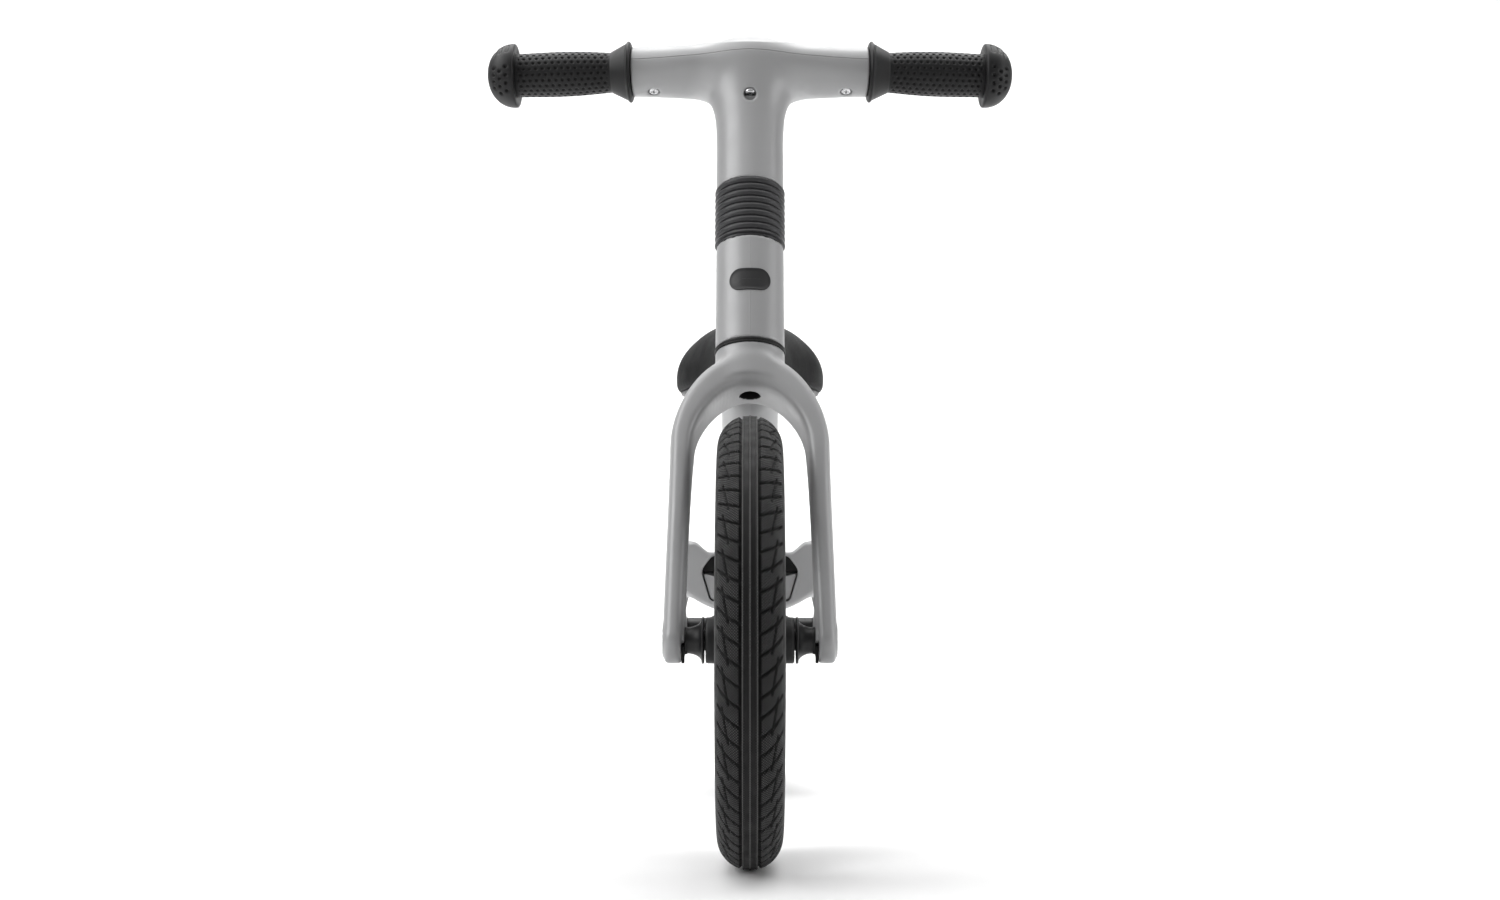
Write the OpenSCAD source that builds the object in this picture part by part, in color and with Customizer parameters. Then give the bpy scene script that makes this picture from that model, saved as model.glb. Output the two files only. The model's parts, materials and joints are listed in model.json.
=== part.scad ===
// Child's balance bike, in millimetres.
// The bike points along -Y, +Z is up, and X = 0 is its plane of symmetry.
// The origin is on the ground, midway between the two wheels.

/* [Wheels] */
// Outside diameter of the tyres
tyre_od = 298; // [290:1:305]
// Width of the tyres at their widest
tyre_w = 43.2; // [40:0.2:47]
// Distance between the two axles
wheelbase = 560; // [545:5:600]
// Number of spokes in each wheel
spoke_count = 5; // [5:1:7]

/* [Steering] */
// Angle by which the steering axis leans back from upright
lean = 17; // [15:0.5:19]
// Distance by which the axle sits ahead of the steering axis, measured level
axle_lead = 26; // [22:1:30]
// Outside diameter of the head tube
head_od = 49; // [48:0.5:51]
// Width across the outsides of the fork at the axle
fork_w = 115.6; // [113:0.2:118]
// Thickness of a fork leg at the axle
fork_leg_t = 14.6; // [13:0.2:15]
// Number of rings in the bellows
bellows_rings = 9; // [7:1:10]

/* [Handlebar] */
// Width across the ends of the grips
bar_w = 397; // [390:1:420]
// Angle by which each grip is swept back
grip_sweep = 3.5; // [0:0.5:6]
// Outside diameter of the stem
stem_od = 49.2; // [48:0.2:50]

/* [Frame] */
// Width of the main beam
beam_w = 42; // [38:1:44]
// Width across the insides of the rear arms at the axle
rear_inner_w = 120; // [118:1:126]
// Thickness of a rear arm at the axle
rear_arm_t = 14; // [12:1:16]

/* [Saddle] */
// Greatest width of the saddle
saddle_w = 129; // [115:1:135]
// Length of the saddle
saddle_l = 225; // [210:5:235]
// Height of the top of the saddle at its lowest setting
saddle_top = 420; // [415:1:430]
// Travel of the seat post in the frame
saddle_travel = 60; // [40:5:60]

/* [Hidden] */
$fn = 64;
// Radial gap of a shaft that turns in a bearing
running = 0.05;
// Radial gap between parts that are fixed to each other
snug = 0.04;

// Colours
paint = [0.62, 0.62, 0.63];
black_rubber = [0.08, 0.08, 0.08];
black_plastic = [0.12, 0.12, 0.12];
dark_rubber = [0.25, 0.25, 0.26];
steel = [0.75, 0.75, 0.77];

// Wheels
wheel_r = tyre_od / 2;
axle_y = wheelbase / 2;
tyre_half = tyre_w / 2;
tyre_mid_r = wheel_r - tyre_half;
tyre_wall = 3;
bead_r = 101.6;
bead_top_r = 112;
bead_in = 8.2;
bead_out = 11.4;
bead_gap = 0.2;
flange_out = 13.8;
flange_r = 107;
rim_in_r = 93;
rim_bed_r = 97;
hub_r = 15.3;
hub_half = 29.3;
hub_collar_r = 25;
hub_collar_half = 9;
hub_bore_r = 9;
bearing_r = 12;
bearing_l = 6;
axle_r = 6;
spoke_half = 6;
spoke_in_w = 17;
spoke_out_w = 24;
valve_r = 3.9;
valve_hole_r = 4.3;
valve_tip_r = 72;
valve_cap_r = 4.9;
valve_cap_l = 9;

// Axle hardware
bolt_r = 4;
thread_l = 18;
bolt_in = 16;
bolt_hole_r = 4.2;
bolt_head_r = 7.5;
bolt_head_t = 5;
bolt_sink_r = 8.5;
bolt_sink = 6;
hex_r = 2.9;
washer_t = 1.8;
side_gap = 0.1;
washer_r = 10;
washer_tab_l = 16;
washer_tab_w = 11;
cone_gap = 1;
cone_flange_t = 1.6;
cone_flange_r = 15.5;
cone_end_r = 8.7;
cone_l = 9.5;
cone_neck_r = 6.8;

// Steering axis, with distances measured along it from the height of the axles
crown_s = 178.3;
crown_hole_r = 7.25;
steerer_low_s = 194.3;
fork_top_s = 209.6;
head_low_s = 213;
head_top_s = 293.1;
bellows_top_s = 340.6;
bar_s = 442.5;
dome_top_s = 466.2;
axle_yl = -axle_lead * cos(lean);
axle_s = -axle_lead * sin(lean);
head_bore_r = 17;
crown_room_r = 40;
cup_r = 20.9;
cup_l = 7;
steerer_r = 14.3;
steerer_in_r = 11.5;
steerer_top_s = 405;
spacer_r = 18.5;
// Gap between faces that turn past each other
turn_gap = 0.3;

// Handlebar
stem_r = stem_od / 2;
arm_end_x = 88.2;
arm_end_r = 18.5;
arm_mid_deep = 27.7;
boss_r = 27.6;
dome_r = 45;
grip_tube_r = 11;
grip_tube_in = 34;
grip_start_x = 88.5;
screw_x = 72;
seam = 0.4;
grip_l = (bar_w / 2 - grip_start_x) / cos(grip_sweep);

// Frame, with side-view points as [y, z]
head_wall_y = -178;
head_wall_z = 377;
yoke_front = 38;
yoke_back = 92;
yoke_r = 87;
yoke_mid_z = 249.5;
yoke_half = 67;
web_top = 214.2;
lip_top = 222.4;
lip_start_x = 33;
lip_rise_w = 13;
pad_seat_z = 198;
pad_front = 44.5;
pocket_back = 52;
pocket_floor = 174;
pocket_top = 211.3;
pocket_in_x = 20;
pad_seat_w = 26;
seat_tube_r = 17;
post_r = 12.7;
post_y = 65;
post_z = 230;
seat_tube_top = 92;
seat_tube_low = -38;
seat_bore_low = -20;
collar_h = 18;
collar_r = 21.5;
saddle_under = 355;
saddle_wide_z = 368;
saddle_nose_half = 26;

// Places a child that is drawn about the steering axis, whose z runs along that axis
module steer() {
  translate([0, axle_lead - axle_y, wheel_r]) rotate([-lean, 0, 0]) children();
}

// Places a child that is drawn about the seat post's axis
module on_post() {
  translate([0, post_y, post_z]) rotate([-lean, 0, 0]) children();
}

// Places a child that is drawn about the middle of a wheel
module at_front() {
  translate([0, -axle_y, wheel_r]) children();
}

module at_rear() {
  translate([0, axle_y, wheel_r]) children();
}

// Turns a child that is drawn about Z so that it lies about X
module about_x() {
  rotate([0, 90, 0]) children();
}

// A copy of the child on each side of the plane of symmetry
module both_sides() {
  children();
  mirror([1, 0, 0]) children();
}

// A tube along Z from z0 to z1
module tube(r_out, r_in, z0, z1) {
  translate([0, 0, z0]) difference() {
    cylinder(r = r_out, h = z1 - z0);
    translate([0, 0, -1]) cylinder(r = r_in, h = z1 - z0 + 2);
  }
}

function lerp(a, b, t) = a + (b - a) * t;
function smooth(t) = let (c = min(1, max(0, t))) c * c * (3 - 2 * c);
function power(v, e) = sign(v) * pow(abs(v), e);
// Point of a cubic curve with ends a and d and handles b and c
function cubic(a, b, c, d, t) =
  pow(1 - t, 3) * a + 3 * t * pow(1 - t, 2) * b + 3 * t * t * (1 - t) * c + pow(t, 3) * d;
function cubic_way(a, b, c, d, t) =
  3 * pow(1 - t, 2) * (b - a) + 6 * t * (1 - t) * (c - b) + 3 * t * t * (d - c);
function unit(v) = v / norm(v);

// Ring of n points about c: half-widths wu along u and wv along v, squarer as e grows
function ring(c, u, v, wu, wv, e, n) = [
  for (i = [0 : n - 1])
    let (a = 360 * i / n)
    c + u * wu * power(cos(a), 2 / e) + v * wv * power(sin(a), 2 / e)
];

// Skin over rings of equal length, closed at both ends
module loft(rings) {
  n = len(rings[0]);
  m = len(rings);
  polyhedron(
    points = [for (r = rings) each r],
    faces = concat(
      [[for (i = [0 : n - 1]) i]],
      [[for (i = [n - 1 : -1 : 0]) (m - 1) * n + i]],
      [for (k = [0 : m - 2], i = [0 : n - 1]) [k * n + i, (k + 1) * n + i, (k + 1) * n + (i + 1) % n]],
      [for (k = [0 : m - 2], i = [0 : n - 1]) [k * n + i, (k + 1) * n + (i + 1) % n, k * n + (i + 1) % n]]
    )
  );
}

// ---- Frame ----

beam_start = [0, head_wall_y, head_wall_z];
beam_way_1 = [0, -110, 310];
beam_way_2 = [0, -45, 232];
beam_end = [0, 72, 192];
beam_steps = 14;
beam_deep_start = 31;
beam_deep_end = 22.5;

module main_beam() {
  loft([
    for (k = [0 : beam_steps])
      let (
        t = k / beam_steps,
        d = unit(cubic_way(beam_start, beam_way_1, beam_way_2, beam_end, t)),
        v = cross(d, [1, 0, 0])
      )
      ring(cubic(beam_start, beam_way_1, beam_way_2, beam_end, t), [1, 0, 0], v,
           beam_w / 2, lerp(beam_deep_start, beam_deep_end, smooth(t * 1.3)), 2.6, 28)
  ]);
}

arm_end = [rear_inner_w / 2 + rear_arm_t / 2, axle_y, wheel_r];
arm_start = [56, yoke_front + 9, 201];
arm_way_1 = [58, 110, 203];
arm_way_2 = [arm_end[0], 190, 158];
arm_steps = 14;
arm_half_start = 10.5;
arm_deep_start = 20;
arm_deep_end = 12.5;
dropout_r = 16;

module rear_arm() {
  loft([
    for (k = [0 : arm_steps])
      let (
        t = k / arm_steps,
        d = unit(cubic_way(arm_start, arm_way_1, arm_way_2, arm_end, t)),
        u = unit(cross([0, 0, 1], d)),
        v = cross(d, u)
      )
      ring(cubic(arm_start, arm_way_1, arm_way_2, arm_end, t), u, v,
           lerp(arm_half_start, rear_arm_t / 2, smooth(t * 1.5)),
           lerp(arm_deep_start, arm_deep_end, smooth(t * 1.2)), 2.8, 24)
  ]);
  translate([rear_inner_w / 2, axle_y, wheel_r]) about_x() cylinder(r = dropout_r, h = rear_arm_t);
}

// Front view of the footrest: a bowl whose rim rises to a lip at each side
module yoke_outline() {
  top = [for (x = [-yoke_half : 2 : yoke_half])
    [x, lerp(web_top, lip_top, smooth((abs(x) - lip_start_x) / lip_rise_w))]];
  intersection() {
    translate([0, yoke_mid_z]) circle(r = yoke_r, $fn = 128);
    polygon(concat([[-yoke_half, 150]], top, [[yoke_half, lip_top], [yoke_half, 150]]));
  }
}

// The pocket beside the beam, seen from the front: a wide top that narrows downwards
module pocket_outline() {
  polygon([
    [pocket_in_x, pocket_top], [29, pocket_top], [34, 209.6], [38, 205.8], [40.3, 199],
    [33.4, 176], [31.5, pocket_floor], [pocket_in_x, pocket_floor]
  ]);
}

module along_y(y0, y1) {
  translate([0, y1, 0]) rotate([90, 0, 0]) linear_extrude(y1 - y0) children();
}

module footrest_yoke() {
  difference() {
    along_y(yoke_front, yoke_back) yoke_outline();
    both_sides() {
      along_y(yoke_front - 1, pocket_back) pocket_outline();
      translate([pocket_in_x, pad_front, pad_seat_z]) cube([pad_seat_w, yoke_back, 40]);
    }
  }
}

module dropout_bores(x_in, t) {
  translate([x_in - 1, 0, 0]) about_x() cylinder(r = bolt_hole_r, h = t + 2);
  translate([x_in + t - bolt_sink, 0, 0]) about_x() cylinder(r = bolt_sink_r, h = bolt_sink + 1);
}

module main_frame() {
  color(paint) difference() {
    union() {
      steer() translate([0, 0, head_low_s]) cylinder(r = head_od / 2, h = head_top_s - head_low_s);
      main_beam();
      footrest_yoke();
      both_sides() rear_arm();
      on_post() translate([0, 0, seat_tube_low])
        cylinder(r = seat_tube_r, h = seat_tube_top - seat_tube_low);
    }
    steer() {
      translate([0, 0, head_low_s - 40]) cylinder(r = head_bore_r, h = 160);
      // Room for the fork's crown to turn in, under the head tube
      translate([0, 0, head_low_s - 60]) cylinder(r = crown_room_r, h = 60);
      translate([0, 0, head_low_s - 1]) cylinder(r = cup_r, h = cup_l + 1);
      translate([0, 0, head_top_s - cup_l]) cylinder(r = cup_r, h = cup_l + 1);
    }
    on_post() translate([0, 0, seat_bore_low]) cylinder(r = post_r + 0.1, h = 200);
    both_sides() at_rear() dropout_bores(rear_inner_w / 2, rear_arm_t);
  }
}

pad_top = web_top - 0.4;
pad_w = 24;
pad_l = 46;
rib_count = 9;
rib_pitch = 5;
rib_w = 2.4;
rib_h = 1.5;

module footrest_pads() {
  color(black_rubber) both_sides() {
    translate([beam_w / 2 + 0.4, pad_front + 0.2, pad_seat_z])
      cube([pad_w, pad_l, pad_top - rib_h + 0.1 - pad_seat_z]);
    for (k = [0 : rib_count - 1])
      translate([beam_w / 2 + 1.5, pad_front + 2 + k * rib_pitch, pad_top - rib_h])
        cube([pad_w - 2.5, rib_w, rib_h]);
  }
}

badge_w = 31;
badge_h = 17;
badge_s = 258;

// Plain rounded plate bent round the front of the head tube
module head_badge() {
  color(black_plastic) steer() intersection() {
    tube(head_od / 2 + 0.7, head_od / 2 + snug, badge_s - badge_h, badge_s + badge_h);
    translate([0, 0, badge_s]) rotate([90, 0, 0]) linear_extrude(head_od) {
      square([badge_w - badge_h, badge_h], center = true);
      for (side = [-1, 1]) translate([side * (badge_w - badge_h) / 2, 0]) circle(d = badge_h);
    }
  }
}

// Bearing ring with a groove round each face, where its two races part
groove_w = 1.2;
groove_deep = 0.8;

module steering_bearing() {
  groove_r = (cup_r + steerer_r) / 2;
  rotate_extrude() difference() {
    translate([steerer_r + running, 0]) square([cup_r - snug - steerer_r - running, cup_l]);
    translate([groove_r, -1]) square([groove_w, groove_deep + 1]);
    translate([groove_r, cup_l - groove_deep]) square([groove_w, groove_deep + 1]);
  }
}

module upper_steering_bearing() {
  color(steel) steer() translate([0, 0, head_top_s - cup_l]) steering_bearing();
}

module lower_steering_bearing() {
  color(steel) steer() translate([0, 0, head_low_s]) steering_bearing();
}

clamp_bolt_z = seat_tube_top - collar_h / 2;
clamp_ear_y = collar_r + 5;
clamp_ear_half = 9;
clamp_ear_l = 14;
clamp_slot = 3;
clamp_bolt_r = 2.5;

// Collar round the top of the seat tube, split at the back between two ears
module seat_clamp() {
  color(black_plastic) on_post() difference() {
    union() {
      tube(collar_r, seat_tube_r + snug, seat_tube_top - collar_h, seat_tube_top);
      translate([-clamp_ear_half, seat_tube_r + 1, seat_tube_top - collar_h])
        cube([2 * clamp_ear_half, clamp_ear_l, collar_h]);
    }
    translate([-clamp_slot / 2, 0, seat_tube_top - collar_h - 1]) cube([clamp_slot, 40, collar_h + 2]);
    translate([-20, clamp_ear_y, clamp_bolt_z]) about_x() cylinder(r = clamp_bolt_r + snug, h = 40);
  }
}

module seat_clamp_bolt() {
  color(steel) on_post() translate([0, clamp_ear_y, clamp_bolt_z]) about_x() {
    translate([0, 0, -clamp_ear_half - 3]) cylinder(r = clamp_bolt_r, h = 2 * clamp_ear_half + 3);
    difference() {
      translate([0, 0, clamp_ear_half]) cylinder(r = 4.3, h = 5);
      translate([0, 0, clamp_ear_half + 2]) cylinder(r = 2.2, h = 4, $fn = 6);
    }
    translate([0, 0, -clamp_ear_half - 4]) cylinder(r = 4.6, h = 4, $fn = 6);
  }
}

// ---- Axles ----

// Solid axle with a threaded hole in each end, shown plain
module axle(inner_half) {
  half = inner_half - side_gap;
  both_sides() about_x() difference() {
    cylinder(r = axle_r, h = half);
    translate([0, 0, half - thread_l]) cylinder(r = bolt_r + snug, h = thread_l + 1);
  }
}

// Spacer on each side of the hub: a flange, a hollow cone, then a plain sleeve
module axle_spacers(inner_half) {
  end_x = inner_half - side_gap - washer_t;
  start_x = hub_half + cone_gap;
  both_sides() about_x() rotate_extrude()
    polygon(concat(
      [[axle_r + snug, hub_half], [cone_neck_r, hub_half], [cone_neck_r, start_x],
       [cone_flange_r, start_x], [cone_flange_r, start_x + cone_flange_t]],
      [for (k = [0 : 8]) let (a = 90 * k / 8)
        [cone_end_r + (cone_flange_r - 0.8 - cone_end_r) * (1 - sin(a)),
         start_x + cone_flange_t + cone_l * (1 - cos(a))]],
      [[cone_end_r, end_x], [axle_r + snug, end_x]]
    ));
}

module tab_washers(inner_half) {
  both_sides() translate([inner_half - side_gap - washer_t, 0, 0]) difference() {
    union() {
      about_x() cylinder(r = washer_r, h = washer_t);
      translate([0, -washer_tab_w / 2, -washer_tab_l]) cube([washer_t, washer_tab_w, washer_tab_l]);
    }
    translate([-1, 0, 0]) about_x() cylinder(r = axle_r + snug, h = 5);
  }
}

module axle_bolts(inner_half, wall_t) {
  head_x = inner_half + wall_t - bolt_sink;
  both_sides() about_x() difference() {
    union() {
      translate([0, 0, inner_half - bolt_in]) cylinder(r = bolt_r, h = bolt_in + wall_t - bolt_sink);
      translate([0, 0, head_x]) cylinder(r = bolt_head_r, h = bolt_head_t);
    }
    translate([0, 0, head_x + bolt_head_t - 3]) cylinder(r = hex_r, h = 4, $fn = 6);
  }
}

fork_inner_half = fork_w / 2 - fork_leg_t;
rear_inner_half = rear_inner_w / 2;

module front_axle() { color(steel) at_front() axle(fork_inner_half); }
module rear_axle() { color(steel) at_rear() axle(rear_inner_half); }
module front_axle_spacers() { color(black_plastic) at_front() axle_spacers(fork_inner_half); }
module rear_axle_spacers() { color(black_plastic) at_rear() axle_spacers(rear_inner_half); }
module front_tab_washers() { color(black_plastic) at_front() tab_washers(fork_inner_half); }
module rear_tab_washers() { color(black_plastic) at_rear() tab_washers(rear_inner_half); }
module front_axle_bolts() { color(steel) at_front() axle_bolts(fork_inner_half, fork_leg_t); }
module rear_axle_bolts() { color(steel) at_rear() axle_bolts(rear_inner_half, rear_arm_t); }

// ---- Wheels ----

module tyre() {
  about_x() rotate_extrude($fn = 128) difference() {
    union() {
      translate([tyre_mid_r, 0]) circle(r = tyre_half);
      for (x = [bead_in, -bead_out])
        translate([bead_r, x]) square([bead_top_r - bead_r, bead_out - bead_in]);
    }
    translate([tyre_mid_r, 0]) circle(r = tyre_half - tyre_wall);
    translate([bead_r - 1, -bead_in]) square([bead_top_r - bead_r + 1, 2 * bead_in]);
    for (x = [bead_out, -bead_out - tyre_half])
      translate([bead_r - 1, x]) square([flange_r - bead_r + 1.5, tyre_half]);
  }
}

tube_r = tyre_half - tyre_wall - 0.3;
tube_wall = 1.2;

module inner_tube() {
  about_x() rotate_extrude($fn = 128) translate([tyre_mid_r, 0]) difference() {
    circle(r = tube_r);
    circle(r = tube_r - tube_wall);
  }
  translate([0, 0, valve_tip_r]) cylinder(r = valve_r, h = tyre_mid_r - tube_r + 0.8 - valve_tip_r);
}

module valve_cap() {
  translate([0, 0, valve_tip_r - 1.6]) difference() {
    cylinder(r = valve_cap_r, h = valve_cap_l);
    translate([0, 0, 1.6]) cylinder(r = valve_r + snug, h = valve_cap_l);
  }
}

module spoke() {
  rotate([90, 0, 90]) translate([0, 0, -spoke_half]) linear_extrude(2 * spoke_half) polygon([
    [-spoke_in_w / 2, hub_bore_r + 8], [spoke_in_w / 2, hub_bore_r + 8],
    [spoke_in_w / 2 - 3, 50], [spoke_out_w / 2, rim_in_r + 1],
    [-spoke_out_w / 2, rim_in_r + 1], [-spoke_in_w / 2 + 3, 50]
  ]);
}

// Rim, spokes and hub, moulded as one
module wheel() {
  difference() {
    union() {
      about_x() rotate_extrude($fn = 128) difference() {
        translate([rim_in_r, -flange_out]) square([flange_r - rim_in_r, 2 * flange_out]);
        translate([bead_r - bead_gap, -bead_out - bead_gap]) square([flange_r, 2 * (bead_out + bead_gap)]);
        translate([rim_bed_r, -bead_in]) square([flange_r, 2 * bead_in]);
      }
      about_x() rotate_extrude() {
        translate([0, -hub_half]) square([hub_r, 2 * hub_half]);
        translate([0, -hub_collar_half]) square([hub_collar_r, 2 * hub_collar_half]);
      }
      for (k = [0 : spoke_count - 1]) rotate([360 * (k + 0.5) / spoke_count, 0, 0]) spoke();
    }
    about_x() {
      translate([0, 0, -hub_half - 1]) cylinder(r = hub_bore_r, h = 2 * hub_half + 2);
      for (side = [0, 1]) mirror([0, 0, side])
        translate([0, 0, hub_half - bearing_l]) cylinder(r = bearing_r, h = bearing_l + 1);
    }
    translate([0, 0, rim_in_r - 10]) cylinder(r = valve_hole_r, h = 20);
  }
}

bearing_in = 0.3;

module bearings() {
  both_sides() about_x() rotate_extrude() difference() {
    translate([axle_r + running, hub_half - bearing_l])
      square([bearing_r - snug - axle_r - running, bearing_l - bearing_in]);
    translate([(axle_r + bearing_r - groove_w) / 2, hub_half - bearing_in - groove_deep])
      square([groove_w, groove_deep + 1]);
  }
}

module front_tyre() { color(black_rubber) at_front() tyre(); }
module front_inner_tube() { color(black_rubber) at_front() inner_tube(); }
module front_wheel() { color(black_plastic) at_front() wheel(); }
module front_bearings() { color(steel) at_front() bearings(); }
module front_valve_cap() { color(black_plastic) at_front() valve_cap(); }
module rear_tyre() { color(black_rubber) at_rear() tyre(); }
module rear_inner_tube() { color(black_rubber) at_rear() inner_tube(); }
module rear_wheel() { color(black_plastic) at_rear() wheel(); }
module rear_bearings() { color(steel) at_rear() bearings(); }
module rear_valve_cap() { color(black_plastic) at_rear() valve_cap(); }

// ---- Fork ----

leg_top = [47, axle_yl * 0.3, 134];
crown_mid = [0, 0, crown_s + 13];
leg_foot = [fork_w / 2 - fork_leg_t / 2, axle_yl, axle_s];
leg_steps = 10;
arch_steps = 16;
crown_half_t = 13;
leg_half_deep = 13;
leg_end_r = 15.5;
crown_half_deep = 22.5;

// Half of the fork's centre line, from the axle to the middle of the crown, as [point, direction]
function leg_point(t) = [lerp(leg_foot[0], leg_top[0], pow(t, 1.8)),
  lerp(leg_foot[1], leg_top[1], t), lerp(leg_foot[2], leg_top[2], t)];
arch_handle_1 = leg_top + [-0.6, axle_yl * -0.12, 24];
arch_handle_2 = crown_mid + [27, 0, 0];
function arch_point(t) = cubic(leg_top, arch_handle_1, arch_handle_2, crown_mid, t);

fork_half = concat(
  [for (k = [0 : leg_steps - 1]) leg_point(k / leg_steps)],
  [for (k = [0 : arch_steps]) arch_point(k / arch_steps)]
);
fork_line = concat(
  fork_half,
  [for (k = [len(fork_half) - 2 : -1 : 0]) [-fork_half[k][0], fork_half[k][1], fork_half[k][2]]]
);

function fork_way(k) = unit(fork_line[min(k + 1, len(fork_line) - 1)] - fork_line[max(k - 1, 0)]);
// How far a point is up the fork: 0 at the axle, 1 at the crown
function fork_rise(p) = (p[2] - axle_s) / (crown_mid[2] - axle_s);

module fork_blade() {
  loft([
    for (k = [0 : len(fork_line) - 1])
      let (
        p = fork_line[k],
        d = fork_way(k),
        u = unit(cross([0, 1, 0], d)),
        v = cross(d, u),
        rise = fork_rise(p)
      )
      ring(p, u, v, lerp(fork_leg_t / 2, crown_half_t, pow(rise, 5)),
           lerp(leg_half_deep, crown_half_deep, smooth(rise)), lerp(3.2, 4.2, pow(rise, 3)), 28)
  ]);
}

module fork() {
  color(paint) steer() difference() {
    union() {
      fork_blade();
      translate([0, 0, crown_s + 6]) cylinder(r = head_od / 2 + 0.1, h = fork_top_s - crown_s - 6);
      both_sides() translate([fork_inner_half, axle_yl, axle_s]) about_x()
        cylinder(r = leg_end_r, h = fork_leg_t);
    }
    translate([0, 0, crown_s - 6]) cylinder(r = crown_hole_r, h = 60);
    translate([0, 0, steerer_low_s]) cylinder(r = steerer_r + snug, h = 40);
    both_sides() translate([0, axle_yl, axle_s]) dropout_bores(fork_inner_half, fork_leg_t);
  }
}

module steerer_tube() {
  color(steel) steer() tube(steerer_r, steerer_in_r, steerer_low_s, steerer_top_s);
}

module lower_seal_ring() {
  color(black_rubber) steer() tube(head_od / 2 + 0.7, steerer_r + snug, fork_top_s, head_low_s - turn_gap);
}

module steerer_spacer() {
  color(steel) steer() tube(spacer_r, steerer_r + snug, head_top_s + turn_gap, bellows_top_s);
}

bellows_pitch = 5.3;
bellows_in_r = 20.5;
bellows_core_r = 23.2;
ring_r = 2.45;

module bellows() {
  low = head_top_s + turn_gap;
  color(dark_rubber) steer() rotate_extrude() {
    translate([bellows_in_r, low]) square([bellows_core_r - bellows_in_r, bellows_top_s - low]);
    for (k = [0 : bellows_rings - 1])
      translate([bellows_core_r, bellows_top_s - ring_r - k * bellows_pitch]) circle(r = ring_r, $fn = 24);
    translate([bellows_core_r - 1, low]) square([2, 1.6]);
  }
}

// ---- Handlebar ----

bar_steps = 18;
function arm_deep(x) = lerp(arm_end_r, arm_mid_deep, pow(cos(90 * x / arm_end_x), 1.5));

// Arms whose cross-sections lean little by little until each end is square to its grip
module bar_arms() {
  loft([
    for (k = [0 : bar_steps])
      let (x = lerp(-arm_end_x, arm_end_x, k / bar_steps), slant = grip_sweep * x / arm_end_x)
      ring([x, 0, bar_s], [-sin(slant), cos(slant), 0], [0, 0, 1], arm_deep(x), arm_end_r, 2.1, 32)
  ]);
}

// Shoulder under the arms, where the stem widens in a hollow curve to meet them
flare_low_s = 398;
flare_high_s = 426;
flare_half = 50;
flare_steps = 8;

module stem_flare() {
  loft([
    for (k = [0 : flare_steps])
      let (a = 90 * k / flare_steps)
      ring([0, 0, lerp(flare_low_s, flare_high_s, sin(a))], [1, 0, 0], [0, 1, 0],
           lerp(stem_r - 0.2, flare_half, 1 - cos(a)), lerp(stem_r - 0.2, 20, k / flare_steps), 2, 32)
  ]);
}

// Round boss about the steering axis, swelling out of the stem and closed by a low dome
swell_low_s = 388;
swell_high_s = 428;
swell_steps = 10;

module bar_boss() {
  dome_side = dome_top_s - dome_r + sqrt(dome_r * dome_r - boss_r * boss_r);
  rotate_extrude() polygon(concat(
    [[0, swell_low_s]],
    [for (k = [0 : swell_steps])
      [lerp(stem_r, boss_r, smooth(k / swell_steps)), lerp(swell_low_s, swell_high_s, k / swell_steps)]],
    [[boss_r, dome_side]],
    [for (k = [0 : swell_steps])
      let (x = boss_r * (1 - k / swell_steps))
      [x, dome_top_s - dome_r + sqrt(dome_r * dome_r - x * x)]]
  ));
}

module bar_solid() {
  bar_arms();
  stem_flare();
  bar_boss();
  translate([0, 0, bellows_top_s]) cylinder(r = stem_r, h = swell_low_s - bellows_top_s + 1);
}

// Draws a child about the axis of each grip
module grip_line() {
  both_sides() translate([arm_end_x, 0, bar_s]) rotate([0, 0, grip_sweep]) about_x() children();
}

// Pocket about the head of the bolt on top of the steerer tube
top_pocket_r = 9;
top_pocket_half = 10;
top_head_r = 8;
top_head_t = 7;

module bar_cavities() {
  grip_line() translate([0, 0, -grip_tube_in - 1]) cylinder(r = grip_tube_r + 0.05, h = 80);
  translate([0, 0, bellows_top_s - 1])
    cylinder(r = steerer_r + snug, h = steerer_top_s - bellows_top_s + 1);
  translate([0, 0, steerer_top_s - 1]) cylinder(r = bolt_r + 0.5, h = bar_s - steerer_top_s);
  translate([0, 0, bar_s - top_pocket_half]) cylinder(r = top_pocket_r, h = 2 * top_pocket_half);
}

screw_r = 2;
screw_head_r = 4;
screw_head_t = 2.4;
screw_in = 6;
// Length of the wider hole below each head
screw_way = 9;
slot_l = 5.2;
slot_w = 1;
slot_deep = 1.4;
// Each screw as [x, y, height of the seat under its head]
arm_screw_y = -(arm_end_x - screw_x) * tan(grip_sweep);
arm_seat_s = bar_s - 15.5;
screw_spots = [
  [-screw_x, arm_screw_y, arm_seat_s],
  [screw_x, arm_screw_y, arm_seat_s],
  [0, -23.5, 411.5]
];

// Slanted hole from the front, through which the middle screw is reached
mid_way_r = 4.7;
mid_way_l = 20;
mid_way_turn = 59;

module screw_holes() {
  translate(screw_spots[2] - [0, 0, screw_head_t * 0.75]) rotate([-mid_way_turn, 0, 0])
    translate([0, 0, -mid_way_l]) cylinder(r = mid_way_r, h = mid_way_l);
  for (p = screw_spots) translate([p[0], p[1], p[2]]) {
    translate([0, 0, -screw_way]) cylinder(r = screw_head_r + 0.4, h = screw_way);
    cylinder(r = screw_r + snug, h = bar_s + screw_in + 2 - p[2]);
  }
}

module handlebar_body() {
  color(paint) steer() difference() {
    bar_solid();
    bar_cavities();
    screw_holes();
    translate([-bar_w / 2, -100, bar_s]) cube([bar_w, 200, 100]);
  }
}

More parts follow.
